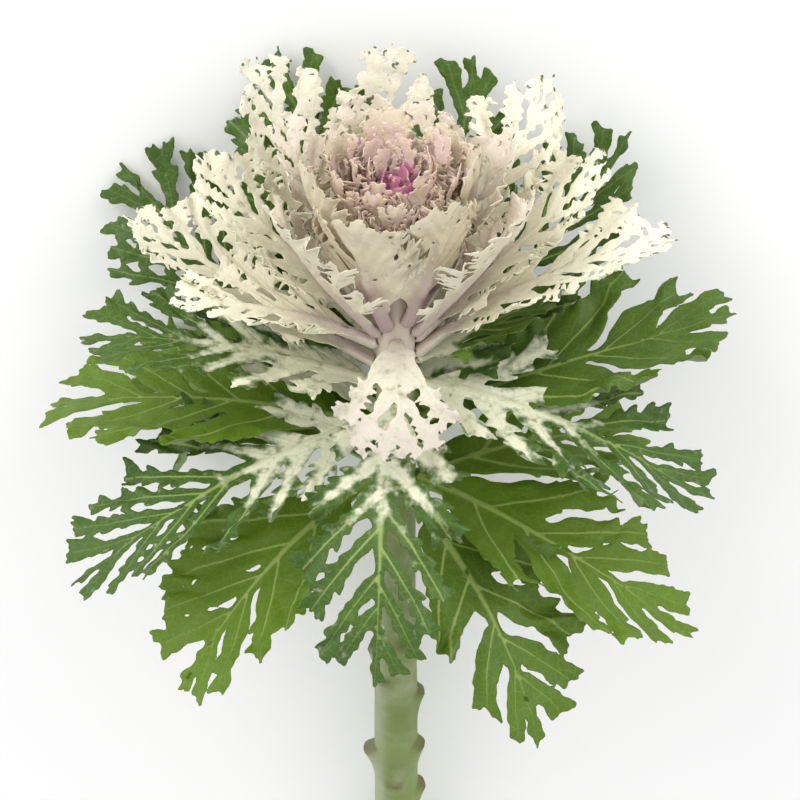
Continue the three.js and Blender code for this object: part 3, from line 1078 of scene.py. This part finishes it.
@dataclass(frozen=True)
class Ring:
    """A ring of leaves that are cut and finished alike.

    thickness: of the blade, mm.
    frill, frill_waves: height of the fine waves along the margin, mm, and how many there are to a side vein.
    crowd: turn, rise of the foot, size and lean of smaller leaves beside each.
    margin, thin: width over which the blade thins out to its margin, mm, and the share that is left there.
    stalk, stalk_taper: half width of the raised stalk, mm, and the share of it that is lost to the tip.
    rib_above, rib_below, vein_above, vein_below: how far the stalk and the veins stand out of the faces, mm.
    bulge, bulge_width: height of the blade between veins, mm, and the distance over which it rises, mm.
    waves: lengths of the seeded waves that make the blade uneven, mm.
    blush_width: half width of the blush along the stalk, mm.
    """

    name: str
    cut: Cut
    finish: LeafFinish
    leaves: tuple[Leaf, ...]
    thickness: float = 0.55
    frill: float = 0.0
    crowd: tuple[tuple[float, float, float, float], ...] = ()
    frill_waves: float = 2.6
    margin: float = 1.4
    thin: float = 0.35
    stalk: float = 2.9
    stalk_taper: float = 0.75
    rib_above: float = 1.0
    rib_below: float = 2.2
    vein_above: float = 0.12
    vein_below: float = 0.4
    bulge: float = 0.8
    bulge_width: float = 4.5
    waves: tuple[float, ...] = (50.0, 31.0, 17.0, 9.0)
    blush_width: float = 4.0

    def build(self, seed: int) -> list[bpy.types.Object]:
        """Makes the ring's leaves in place of their CAD nodes.

        Args:
            seed: starts each leaf's own unevenness.

        Returns:
            The leaf objects.
        """
        material = self.finish.material()
        pieces = []
        for number, leaf in enumerate(self.leaves):
            rng = np.random.default_rng([seed, number])
            node = f"{self.name}_{leaf.at}"
            blades = [self.shape(blade, rng) for blade in self.blades(leaf)]
            piece = Shape.joined(blades).to_object(f"{node}_blade", material)
            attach(piece, BODY)
            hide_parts(node)
            LOG.info("%s: %d triangles", piece.name, len(piece.data.polygons))
            pieces.append(piece)
        return pieces

    def blades(self, leaf: Leaf) -> list[Leaf]:
        """The leaf and the smaller ones that crowd beside it in the heart.

        Args:
            leaf: the leaf.

        Returns:
            It and its smaller copies, turned, raised and leaned as the ring's crowd says.
        """
        crowd = [leaf]
        for turn, up, size, lean in self.crowd:
            crowd.append(
                replace(
                    leaf,
                    azimuth=leaf.azimuth + turn,
                    base=leaf.base + up,
                    length=leaf.length * size,
                    half=leaf.half * size,
                    rise=leaf.rise + lean,
                    tip_rise=leaf.tip_rise + lean,
                )
            )
        return crowd

    def shape(self, leaf: Leaf, rng: np.random.Generator) -> Shape:
        """Works out one leaf as a closed solid.

        The flat blade is cut from its veins' capsules, carried onto the curved leaf with its ruffles, and
        given an upper and a lower face: the lower one stands out under the stalk, midrib and veins, and both
        thin out to the margin, where a narrow rim joins them.

        Args:
            leaf: the leaf.
            rng: seeded source of its unevenness.

        Returns:
            The shape, with what the finish reads painted on its points.
        """
        cut = self.cut.scaled(leaf.coarse, leaf.full)
        veins = leaf.veins(cut, rng)
        flat, triangles, rim = Lattice.over(veins, cut).trimmed()
        x, y, depth, vein, near, _ = flat.T
        lift = self.ruffles(leaf, x, y, near, rng)
        middle = leaf.place(x, y, lift)
        under_by = leaf.rest - LAY.height(middle)
        middle = middle + LAY.up * np.maximum(under_by, 0.0)[:, None]
        normal = point_normals(middle, triangles)
        inner = smoothstep(0.0, self.margin, -depth)
        body = self.thickness * (self.thin + (1.0 - self.thin) * inner) / 2
        share = np.clip(x / leaf.length, 0.0, 1.0)
        stalk = self.stalk * (1.0 - self.stalk_taper * share)
        round_rib = np.sqrt(np.clip(1.0 - (y / stalk) ** 2, 0.0, 1.0))
        round_rib = round_rib * np.clip(1.0 - share, 0.0, 1.0) ** 0.8
        above = body + self.rib_above * round_rib * (1.0 - share) + self.vein_above * vein * inner
        below = body + self.rib_below * round_rib + self.vein_below * vein * inner
        upper = middle + normal * above[:, None]
        lower = middle - normal * below[:, None]
        lower = lower + LAY.up * np.maximum(-LAY.height(lower), 0.0)[:, None]
        count = len(flat)
        head, tail = rim.T
        wall = np.concatenate(
            [np.stack([tail, head, head + count], 1), np.stack([tail, head + count, tail + count], 1)]
        )
        faces = np.concatenate([triangles, triangles[:, ::-1] + count, wall])
        chart = self.charts(flat[:, :2], triangles, rim, wall)
        amounts = self.paint(leaf, flat, rng)
        amounts = {label: np.concatenate([amount, amount]) for label, amount in amounts.items()}
        amounts["under"] = np.concatenate([np.zeros(count), np.ones(count)])
        return Shape(np.concatenate([upper, lower]), faces, chart, amounts)

    def ruffles(self, leaf: Leaf, x: Array, y: Array, near: Array, rng: np.random.Generator) -> Array:
        """Height of the blade above its smooth form.

        Waves run along the margin, one to each side vein, and grow with the distance from the midrib; between
        the veins the blade bulges up, and a few long seeded waves make it uneven.

        Args:
            leaf: the leaf.
            x: distance along the midrib.
            y: distance across.
            near: distance to the nearest main vein.
            rng: seeded source of the waves.

        Returns:
            The height at each point.
        """
        cut = self.cut
        out = np.clip(np.abs(y) / leaf.half, 0.0, 1.2)
        lean = np.tan(np.radians((cut.foot_angle + cut.tip_angle) / 2))
        foot = (x - np.abs(y) / lean) / cut.spacing
        start = rng.uniform(0, 2 * np.pi, 5)
        foot = foot + 0.3 * np.sin(0.13 * x + start[2]) + 0.2 * np.sin(0.29 * x + 0.1 * y + start[3])
        phase = np.where(y > 0, start[0], start[1])
        strong = 0.7 + 0.4 * np.sin(0.19 * x + start[4])
        wave = leaf.ruffle * strong * smoothstep(0.2, 1.1, out) * np.sin(2 * np.pi * foot + phase)
        fine = np.sin(2 * np.pi * self.frill_waves * foot + 3.0 * out + 2.0 * phase)
        fine = self.frill * smoothstep(0.3, 1.0, out) * fine
        bulge = self.bulge * (1.0 - np.exp(-((near / self.bulge_width) ** 2)))
        uneven = np.zeros(len(x))
        for length in self.waves:
            turn, start = rng.uniform(0, 2 * np.pi, 2)
            across = (x * np.cos(turn) + y * np.sin(turn)) * 2 * np.pi / length
            uneven += np.sin(across + start) * length**0.8 * 0.04
        far = np.maximum(out, smoothstep(0.5, 1.0, x / leaf.length))
        return wave + fine + bulge + uneven * (0.1 + 0.9 * np.clip(far, 0, 1))

    def paint(self, leaf: Leaf, flat: Array, rng: np.random.Generator) -> dict[str, Array]:
        """Works out what the finish reads at each point.

        Green starts at the leaf's pale share of the way out, earlier between the veins than along them.

        Args:
            leaf: the leaf.
            flat: rows of x, y, depth, vein, distance to the nearest main vein, and nearness to a finger end.
            rng: seeded source of the leaf's tone.

        Returns:
            Amounts from 0 to 1 by name.
        """
        x, y, depth, vein, near, bare = flat.T
        far = np.hypot(x, 0.9 * y) / leaf.length
        along_vein = 0.7 + 2.6 * np.clip(1.0 - far / (leaf.pale + 0.1), 0.0, 1.0)
        between = 1.0 - np.exp(-((near / along_vein) ** 2))
        between = np.maximum(between, smoothstep(0.55 * leaf.pale, leaf.pale + 0.05, far))
        green = smoothstep(leaf.pale - 0.35, leaf.pale + 0.25, far + 0.4 * between - 0.15)
        green = leaf.speckle + (1.0 - leaf.speckle) * green
        tone = np.full(len(x), np.clip(leaf.tone.value + rng.uniform(-0.12, 0.12), 0, 1))
        blush = leaf.blush * np.exp(-((np.abs(y) / self.blush_width) ** 2))
        blush = blush * (1.0 - smoothstep(0.15, 0.75, far))
        blush = np.maximum(blush, leaf.flush * smoothstep(0.4, 0.95, far))
        start = rng.uniform(0.0, 6.0, 2)
        spotty = smoothstep(0.1, 0.4, np.sin(0.8 * x + start[0]) * np.sin(0.9 * y + start[1]))
        edge = 1.0 - smoothstep(0.3, 0.8, -depth)
        outer = smoothstep(0.65, 0.95, np.maximum(np.abs(y) / leaf.half, 1.4 * x / leaf.length - 0.4))
        tip = np.where(leaf.pale > 0.75, 1.0, 0.3) * bare * edge * spotty * outer
        mottle = np.full(len(x), 1.0 if leaf.pale > 0 else 0.0)
        # Painted shade: the leaf's own darkening of its colour, for leaves that lie open to more light.
        dull = np.full(len(x), leaf.dull)
        vein = vein * (1.0 - 0.45 * smoothstep(0.35, 1.0, far))
        names = ("green", "tone", "vein", "blush", "tip", "mottle", "dull")
        return dict(zip(names, (green, tone, vein, blush, tip, mottle, dull)))

    def charts(self, flat: Array, triangles: Array, rim: Array, wall: Array) -> Array:
        """The bake map: the upper face and the rim round it in the image's lower half, the lower face above.

        Args:
            flat: flat points of the blade.
            triangles: its triangles.
            rim: its outline's edges.
            wall: the rim's triangles.

        Returns:
            One place in the image for each corner of each triangle.
        """
        border, filled, rim_width = 0.02, 0.96, 0.35
        half_image, up_by = [1.0, 0.48], [0.0, 0.5]
        low, high = flat.min(0), flat.max(0)
        span = np.maximum(high - low, TINY)
        place = border + filled * (flat - low) / span
        upper = place * half_image
        lower = upper + up_by
        edge = unit(flat[rim[:, 1]] - flat[rim[:, 0]])
        outwards = np.stack([edge[:, 1], -edge[:, 0]], 1)
        shift = [np.bincount(rim.ravel(), np.repeat(outwards[:, k], 2), len(flat)) for k in range(2)]
        outer = upper + unit(np.stack(shift, 1)) * rim_width * filled / span * half_image
        both = np.concatenate([upper, outer])
        return np.concatenate([upper[triangles], lower[triangles[:, ::-1]], both[wall]]).reshape(-1, 2)


CREAM = srgb(241, 235, 213)

GREEN_CUT = Cut(
    spacing=18, start=0.16, end=0.82, foot_angle=52, tip_angle=28, web=1.06, opens=0.42, rib_web=9.0,
    fingers=4, finger=17.0, tip=0.75, vein=0.7, soft=0.5, cell=1.1, swell=1.3, meet=1.2, fringe=0.45,
    broad=0.14, closes=0.82, lobe=0.36,
)
FEATHER_CUT = Cut(
    spacing=15, start=0.05, end=0.84, foot_angle=56, tip_angle=28, web=0.95, opens=0.1, rib_web=4.0,
    fingers=4, finger=14.0, tip=0.7, vein=0.8, soft=0.4, cell=1.0, swell=1.2, lace=0.5, fringe=0.3,
    broad=0.12, closes=0.5, lobe=0.3, meet=1.1,
)
WHITE_CUT = Cut(
    spacing=12, start=0.12, end=0.88, foot_angle=50, tip_angle=26, web=0.92, opens=0.2, rib_web=8.0,
    fingers=5, finger=14.0, tip=0.45, vein=1.2, soft=0.3, cell=0.88, teeth=0.5, lace=0.2, closes=0.62,
    forks=2, broad=0.05, fringe=0.46,
)
CUP_CUT = Cut(
    spacing=9, start=0.16, end=0.92, foot_angle=44, tip_angle=24, web=1.05, opens=0.5, rib_web=6.0,
    fingers=4, finger=8.0, tip=0.5, vein=1.2, soft=0.3, cell=0.86, closes=0.95, forks=2, fringe=0.5,
    swell=1.9,
)
HEART_CUT = Cut(
    spacing=6, start=0.3, end=0.95, foot_angle=34, tip_angle=18, web=0.1, opens=0.0, rib_web=0.4,
    fingers=3, finger=9.0, tip=0.36, vein=0.8, soft=0.2, cell=0.78, teeth=0.6, closes=0.5, swell=1.9,
    meet=0.9, broad=0.03, bend=14,
)

# What leaves of a ring have in common. The rows of each ring then give where a leaf is, its azimuth, base,
# length, rise, tip_rise and half, and what is its own.
GREEN: dict[str, Any] = {"tone": Tone.FRESH}
UNDER: dict[str, Any] = {"coarse": 1.8}
FEATHER: dict[str, Any] = {"tone": Tone.DEEP}
BACK: dict[str, Any] = {"coarse": 1.35}
WHITE: dict[str, Any] = {"pale": 1.4, "speckle": 0.04, "ruffle": 2.2, "blush": 0.6, "cup": 35}
FRILL: dict[str, Any] = {"pale": 1.8, "ruffle": 2.4, "blush": 0.8, "cup": 40}
CUP: dict[str, Any] = {"pale": 1.8, "ruffle": 2.2, "blush": 0.9, "cup": 40}
HEART: dict[str, Any] = {"pale": 1.8, "ruffle": 3.2, "flush": 0.24, "cup": 50}
INNER: dict[str, Any] = {"ruffle": 2.6, "flush": 1.0}
# The front white leaf carries painted shade: a darker cream for a leaf that lies open to more light.
FRONT: dict[str, Any] = {
    "pale": 1.8, "speckle": 0.12, "flush": 0.3, "ruffle": 2.6, "blush": 0.2, "cup": -15, "full": 1.1,
    "dull": 0.2,
}


def leaves(common: dict[str, Any], *rows: tuple[Any, ...]) -> tuple[Leaf, ...]:
    """The leaves of a ring.

    Args:
        common: what they have in common, by the names of Leaf's fields.
        rows: for each leaf, its first seven fields, and then, where it has any, its own values by name.

    Returns:
        The leaves.
    """
    return tuple(Leaf(*row[:7], **{**common, **(row[7] if len(row) > 7 else {})}) for row in rows)


RINGS = (
    Ring(
        "lower_leaf",
        GREEN_CUT,
        LeafFinish("lower_leaf_green", CREAM),
        leaves(
            GREEN,
            ("front_left", -50, -55, 108, -10, -45, 34),
            ("front_right", 33, -62, 108, -8, -60, 27, {"tone": Tone.MIDDLE}),
            ("right", 66, -58, 114, -10, -28, 36),
            ("left", -97, -38, 120, 12, -12, 40),
            ("far_right", 97, -34, 120, 23, 12, 34, {"tone": Tone.MIDDLE, "full": 1.3}),
            ("under_right", 110, -62, 88, 8, -12, 32, UNDER),
            ("under_left", -122, -56, 112, 6, -12, 32, UNDER),
            ("under_back_left", -158, -66, 112, 12, 10, 32, UNDER),
            ("under_back_right", 158, -60, 92, 14, 12, 32, UNDER),
            ("under_back", 178, -34, 116, 18, 20, 32, {"tone": Tone.MIDDLE, "rest": 4.2, **UNDER}),
        ),
    ),
    Ring(
        "feather_leaf",
        FEATHER_CUT,
        LeafFinish("feather_leaf_green", srgb(226, 226, 200)),
        leaves(
            FEATHER,
            ("low_left", -65, -32, 124, -2, -30, 36, {"pale": 0.58, "speckle": 0.2}),
            ("front", -5, -22, 110, 5, -80, 28, {"pale": 0.56, "speckle": 0.2}),
            ("right", 70, -14, 114, 2, -26, 34, {"pale": 0.7, "speckle": 0.2}),
            ("left", -85, -16, 106, 25, 5, 32, {"pale": 0.75, "speckle": 0.2}),
            ("upper_left_dark", -147, -19, 113, 30, 54, 28, {"pale": 0.3, **BACK}),
            ("upper_left", -125, -32, 132, 15, 44, 34, {"pale": 0.5}),
            ("upper_right", 124, -20, 120, 24, 52, 34, {"pale": 0.3, **BACK}),
            ("small_right", 100, -6, 54, 22, 25, 18, {"pale": 0.5, "tone": Tone.MIDDLE}),
            ("back_left", -152, -12, 120, 35, 62, 30, {"pale": 0.5, **BACK}),
            ("back_right", 157, -5, 106, 40, 64, 28, {"pale": 0.5, **BACK}),
        ),
    ),
    Ring(
        "white_leaf",
        WHITE_CUT,
        LeafFinish("white_leaf_cream", CREAM),
        leaves(
            WHITE,
            ("left_vein", -102, -8, 102, 27, 33, 26, {"blush": 0.7}),
            ("left", -76, 3, 78, 36, 8, 22),
            ("low_right", 87, -2, 103, 45, 15, 26),
            ("right", 101, 3, 92, 44, 44, 24, {"blush": 0.8}),
            ("upper_left", -106, 6, 88, 40, 46, 30, {"pale": 1.35, "blush": 0.5}),
            ("front", 2, 6, 52, 24, -62, 26, FRONT),
            ("upper_right", 126, 9, 98, 44, 60, 24),
            # These two carry painted shade: their cream is darkened because they lie open to more light.
            ("back_left", -137, 12, 98, 42, 58, 25, {"dull": 0.14}),
            ("back", -178, 12, 92, 47, 68, 23, {"dull": 0.16}),
        ),
    ),
    Ring(
        "frill_leaf",
        WHITE_CUT,
        LeafFinish("frill_leaf_cream", srgb(234, 222, 206)),
        leaves(
            FRILL,
            ("right", 66, 9, 76, 52, 60, 19),
            ("upper_right", 108, 14, 76, 58, 66, 19),
            ("back_right", 160, 17, 70, 56, 70, 18),
            ("back_left", -158, 19, 70, 61, 74, 18),
            ("upper_left", -114, 15, 76, 55, 66, 18),
            ("left", -60, 9, 74, 53, 60, 19),
        ),
    ),
    Ring(
        "cup_leaf",
        CUP_CUT,
        LeafFinish(
            "cup_leaf_cream",
            srgb(224, 209, 186),
            # The underside colour and its large share are partly the cups' own greyer underside and partly
            # painted shade, which darkens the cups' outer faces that face the viewer.
            under=srgb(206, 198, 172),
            under_share=0.8,
            tip=srgb(112, 108, 66),
        ),
        leaves(
            CUP,
            ("front_left", -24, 13, 68, 57, 75, 24, {"blush": 1.0}),
            ("front_right", 34, 15, 66, 61, 75, 22, {"blush": 1.0}),
            ("right", 84, 21, 64, 66, 76, 17),
            ("back_right", 132, 23, 60, 67, 78, 15),
            ("back", -170, 25, 60, 64, 78, 15),
            ("back_left", -110, 24, 60, 67, 78, 15),
            ("left", -70, 17, 68, 62, 75, 18),
        ),
        frill=1.5,
    ),
    Ring(
        "heart_leaf",
        HEART_CUT,
        LeafFinish(
            "heart_leaf_pink", srgb(236, 222, 202), blush=srgb(198, 104, 160), tip=srgb(222, 206, 168)
        ),
        leaves(
            HEART,
            ("1", 0, 27, 54, 58, 76, 15),
            ("2", 62, 28, 53, 64, 80, 14),
            ("3", 118, 30, 52, 68, 82, 13),
            ("4", -176, 31, 51, 70, 84, 13),
            ("5", -120, 31, 50, 68, 82, 13),
            ("6", -60, 28, 52, 65, 80, 14),
            ("7", 28, 33, 37, 74, 84, 10, INNER),
            ("8", 146, 36, 36, 78, 86, 10, INNER),
            ("9", -80, 35, 37, 78, 86, 10, INNER),
        ),
        frill=2.2,
        crowd=((20.0, 2.0, 0.92, -6.0), (-20.0, 3.0, 0.9, 6.0), (34.0, 5.0, 0.82, 8.0)),
    ),
)


@dataclass(frozen=True)
class StemFinish:
    """The stem's finish: pale green rind under a whitish bloom, with brown scars and a pale cut end."""

    name: str = "stem_rind"
    rind: Colour = srgb(106, 122, 58)
    fresh: Colour = srgb(122, 138, 74)
    bloom: Colour = srgb(172, 178, 148)
    scar: Colour = srgb(98, 78, 50)
    pith: Colour = srgb(222, 224, 190)
    neck: Colour = srgb(214, 200, 186)
    cloud_waves: float = 28.0
    bloom_waves: float = 60.0
    grain_waves: float = 300.0
    roughness: float = 0.42
    relief: float = 0.3
    bump_height: float = 0.0005

    def material(self) -> bpy.types.Material:
        """Makes the material: cloudy noise shifts the rind's green and lays the bloom on it.

        Returns:
            The material, which reads the amounts that Stem paints.
        """
        sheet = Sheet(self.name)
        cloud, grain = sheet.noise(self.cloud_waves, 4.0), sheet.noise(self.grain_waves, 4.0)
        colour = sheet.mix(cloud.rise(0.3, 0.7), self.rind, self.fresh)
        dusty = sheet.noise(self.bloom_waves, 5.0).rise(0.42, 0.75)
        colour = sheet.mix(dusty * 0.55, colour, self.bloom)
        colour = sheet.mix(sheet.painted("bloom") * 0.6, colour, self.bloom)
        colour = sheet.mix(sheet.painted("scar") * (0.5 + 0.7 * grain), colour, self.scar)
        colour = sheet.mix(sheet.painted("pith"), colour, self.pith)
        colour = sheet.mix(sheet.painted("neck"), colour, self.neck)
        sheet.feed(sheet.shader.inputs["Base Color"], colour)
        sheet.feed(sheet.shader.inputs["Roughness"], self.roughness + 0.25 * grain)
        bump = {"Height": grain + cloud, "Strength": self.relief, "Distance": self.bump_height}
        sheet.feed(sheet.shader.inputs["Normal"], sheet.add("ShaderNodeBump", {}, bump).outputs[0])
        return sheet.material


@dataclass(frozen=True)
class Stem:
    """The stem, from its cut end to its growing tip.

    stumps: azimuth, height and how far each stands out. around, rows: points of the mesh round the stem and
    along it. end_rings, end_dome: radii of the cut end's own rings, as shares of the stem's, and how far its
    middle is hollow, mm. wedge, lip: length of the swelling under a stump and of the break on top, mm.
    stump_half, stump_more: half width of a stump low down, and how much wider it is at the break, mm.
    """

    stumps: tuple[tuple[float, float, float], ...] = (
        (95, -171, 3.2),
        (78, -199, 3.4),
        (-86, -202, 4.6),
        (-5, -217, 0.8),
        (104, -226, 3.6),
        (-112, -150, 3.2),
        (28, -140, 1.6),
        (-38, -160, 1.2),
        (150, -166, 3.0),
        (-62, -250, 3.4),
        (62, -262, 3.2),
        (-8, -284, 1.0),
    )
    around: int = 64
    rows: int = 200
    finish: StemFinish = StemFinish()
    end_rings: tuple[float, ...] = (0.12, 0.3, 0.55, 0.75, 0.9, 0.97)
    end_dome: float = 0.8
    wedge: float = 15.0
    lip: float = 1.6
    stump_half: float = 3.4
    stump_more: float = 1.6
    pith: float = 0.9

    def build(self) -> bpy.types.Object:
        """Makes the stem in place of its CAD node.

        Returns:
            The stem object.
        """
        piece = self.shape().to_object("stem_rind", self.finish.material())
        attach(piece, BODY)
        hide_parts("stem")
        LOG.info("%s: %d triangles", piece.name, len(piece.data.polygons))
        return piece

    def shape(self) -> Shape:
        """Works out the stem as a radius over angle and height, closed at its cut end and its tip.

        The radius is the stem's own, with faint ridges along it. Under each stump it swells up in a wedge
        that is broken off level at the top, with the scar on the break.

        Returns:
            The shape, with scars, bloom, pith and pale neck painted on its points.
        """
        length, tip = LAY.stem_length, LAY.growing_tip
        ends = len(self.end_rings)
        side = np.linspace(-length + 0.3, tip - 0.2, self.rows)
        heights = np.concatenate([np.full(ends, -length), side])
        shrink = np.concatenate([self.end_rings, np.ones(self.rows)])
        turn = np.linspace(0.0, 2 * np.pi, self.around, endpoint=False)
        z, theta = np.meshgrid(heights, turn, indexing="ij")
        radius = LAY.radius(z)
        shaft = smoothstep(10.0, -20.0, z)
        ridges = 0.012 * np.sin(9 * theta + z / 40) + 0.018 * np.sin(z / 23 + 2 * theta)
        radius = radius * (1.0 + shaft * ridges)
        scar = np.zeros(z.shape)
        for azimuth, height, out in self.stumps:
            wrapped = (theta - np.radians(azimuth) + np.pi) % (2 * np.pi) - np.pi
            across = wrapped * LAY.stem_radius
            above = z - height
            wedge = np.clip(1.0 + above / self.wedge, 0.0, 1.0) ** 1.6 * smoothstep(self.lip, 0.0, above)
            width = self.stump_half + self.stump_more * smoothstep(-10.0, 0.0, above)
            radius = radius + out * wedge * np.exp(-((across / width) ** 4))
            crescent = np.exp(-(((above - 0.6 - 0.05 * across**2) / 1.3) ** 2) - (across / 4.2) ** 4)
            scar = np.maximum(scar, crescent)
        radius = radius * shrink[:, None]
        ring = np.stack([radius * np.sin(theta), -radius * np.cos(theta), z], -1)
        ring[:ends, :, 2] += self.end_dome * (1.0 - shrink[:ends, None])
        points = np.concatenate([ring.reshape(-1, 3), [[0.0, 0.0, -length + 0.9], [0.0, 0.0, tip]]])
        many = len(heights)
        number = np.arange(many * self.around).reshape(many, self.around)
        right = np.roll(number, -1, 1)
        a, b, c, d = number[:-1].ravel(), right[:-1].ravel(), right[1:].ravel(), number[1:].ravel()
        cap_low = np.stack([np.full(self.around, many * self.around), right[0], number[0]], 1)
        cap_high = np.stack([np.full(self.around, many * self.around + 1), number[-1], right[-1]], 1)
        triangles = np.concatenate([np.stack([a, b, c], 1), np.stack([a, c, d], 1), cap_low, cap_high])
        bloom = smoothstep(0.2, 1.0, -np.sin(theta)) * smoothstep(-40.0, -120.0, z)
        end = np.concatenate([np.ones(ends), np.zeros(self.rows)])[:, None] * np.ones(self.around)
        neck = smoothstep(-26.0, -8.0, z)
        paint = {"scar": np.clip(scar, 0, 1), "bloom": bloom, "pith": end * self.pith, "neck": neck}
        amounts = {label: np.concatenate([amount.ravel(), [0.0, 0.0]]) for label, amount in paint.items()}
        amounts["pith"][-2] = self.pith
        return Shape(points, triangles, self.chart(points, triangles), amounts)

    def chart(self, points: Array, triangles: Array) -> Array:
        """The bake map: the rind unrolled, angle across and height along, and the cut end as a disc beside.

        Args:
            points: the stem's points.
            triangles: their triangles.

        Returns:
            One place in the image for each corner of each triangle.
        """
        corners = points[triangles]
        angle = np.arctan2(corners[..., 0], -corners[..., 1]) / (2 * np.pi) + 0.5
        wraps = np.ptp(angle, axis=1) > 0.5
        angle = np.where(wraps[:, None] & (angle < 0.5), angle + 1.0, angle)
        along = (corners[..., 2] + LAY.stem_length) / (LAY.stem_length + LAY.growing_tip)
        rind = np.stack([0.03 + 0.9 * along, 0.03 + 0.6 * angle], -1)
        disc = np.stack([corners[..., 0], corners[..., 1]], -1) / LAY.stem_radius * 0.12 + [0.2, 0.84]
        cut_end = (corners[..., 2] < -LAY.stem_length + 1.0).all(1)
        return np.where(cut_end[:, None, None], disc, rind).reshape(-1, 2)


@dataclass(frozen=True)
class Studio:
    """A pale floor, soft lights and the camera.

    view_rise: how far the camera stands towards the heart from straight before the face, in degrees.
    distance, aim: how far away it is, and where it looks in the plant frame, mm. lens: mm.
    floor_size, sees_to: metres. lamps: name, place and size in metres, and power in watts.
    """

    view_rise: float = 38.0
    distance: float = 900.0
    lens: float = 112.5
    aim: tuple[float, float, float] = (1.6, 0.0, -25.0)
    sees_to: float = 20.0
    floor_size: float = 6.0
    floor_grey: float = 0.9
    floor_roughness: float = 0.9
    sky: float = 0.95
    lamps: tuple[tuple[str, tuple[float, float, float], float, float], ...] = (
        ("key", (-0.9, 1.3, 0.8), 0.9, 12.0),
        ("fill", (0.9, 1.3, 0.8), 0.9, 8.0),
    )
    lamp_aim: tuple[float, float, float] = (0.0, 0.1, 0.05)

    def build(self) -> None:
        """Makes the floor, the lights and the camera."""
        self.floor()
        self.lights()
        self.camera()

    def floor(self) -> None:
        """A flat pale floor just under the plant."""
        half = self.floor_size / 2
        corners = [(-half, -half, 0.0), (half, -half, 0.0), (half, half, 0.0), (-half, half, 0.0)]
        mesh = bpy.data.meshes.new("floor")
        mesh.from_pydata(corners, [], [(0, 1, 2, 3)])
        sheet = Sheet("floor_pale")
        sheet.shader.inputs["Base Color"].default_value = (*[self.floor_grey] * 3, 1.0)
        sheet.shader.inputs["Roughness"].default_value = self.floor_roughness
        mesh.materials.append(sheet.material)
        floor = bpy.data.objects.new("floor", mesh)
        bpy.context.scene.collection.objects.link(floor)

    def lights(self) -> None:
        """A bright even sky, and a pair of broad soft lights beyond the head, one at each side."""
        scene = bpy.context.scene
        scene.view_settings.view_transform = "Standard"
        world = bpy.data.worlds.new("studio")
        world.use_nodes = True
        background = world.node_tree.nodes["Background"]
        background.inputs["Color"].default_value = (1.0, 1.0, 1.0, 1.0)
        background.inputs["Strength"].default_value = self.sky
        scene.world = world
        for name, place, size, power in self.lamps:
            lamp = bpy.data.lights.new(name, "AREA")
            lamp.size = size
            lamp.energy = power
            light = bpy.data.objects.new(name, lamp)
            light.location = place
            aim = np.array(self.lamp_aim) - np.array(place)
            light.rotation_mode = "QUATERNION"
            light.rotation_quaternion = Vector(aim).to_track_quat("-Z", "Y")
            scene.collection.objects.link(light)

    def camera(self) -> None:
        """A long lens that looks down on the laid plant, with the stem towards the picture's lower edge."""
        rise = np.radians(self.view_rise)
        away = LAY.turn(np.array([0.0, -np.cos(rise), np.sin(rise)]))
        up = LAY.turn(np.array([0.0, np.sin(rise), np.cos(rise)]))
        right = np.array([1.0, 0.0, 0.0])
        place = LAY.to_row(np.array(self.aim)) + away * self.distance * MM
        matrix = np.eye(4)
        matrix[:3, :3] = np.stack([right, up, away], 1)
        matrix[:3, 3] = place
        data = bpy.data.cameras.new("camera")
        data.lens = self.lens
        data.clip_end = self.sees_to
        camera = bpy.data.objects.new("camera", data)
        camera.matrix_world = Matrix(matrix.tolist())
        bpy.context.scene.collection.objects.link(camera)
        bpy.context.scene.camera = camera


def main() -> None:
    logging.basicConfig(level=logging.INFO, format="%(message)s")
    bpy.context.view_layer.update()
    Stem().build()
    for seed, ring in enumerate(RINGS):
        ring.build(seed)
    Studio().build()
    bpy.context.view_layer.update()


if __name__ == "__main__":
    main()
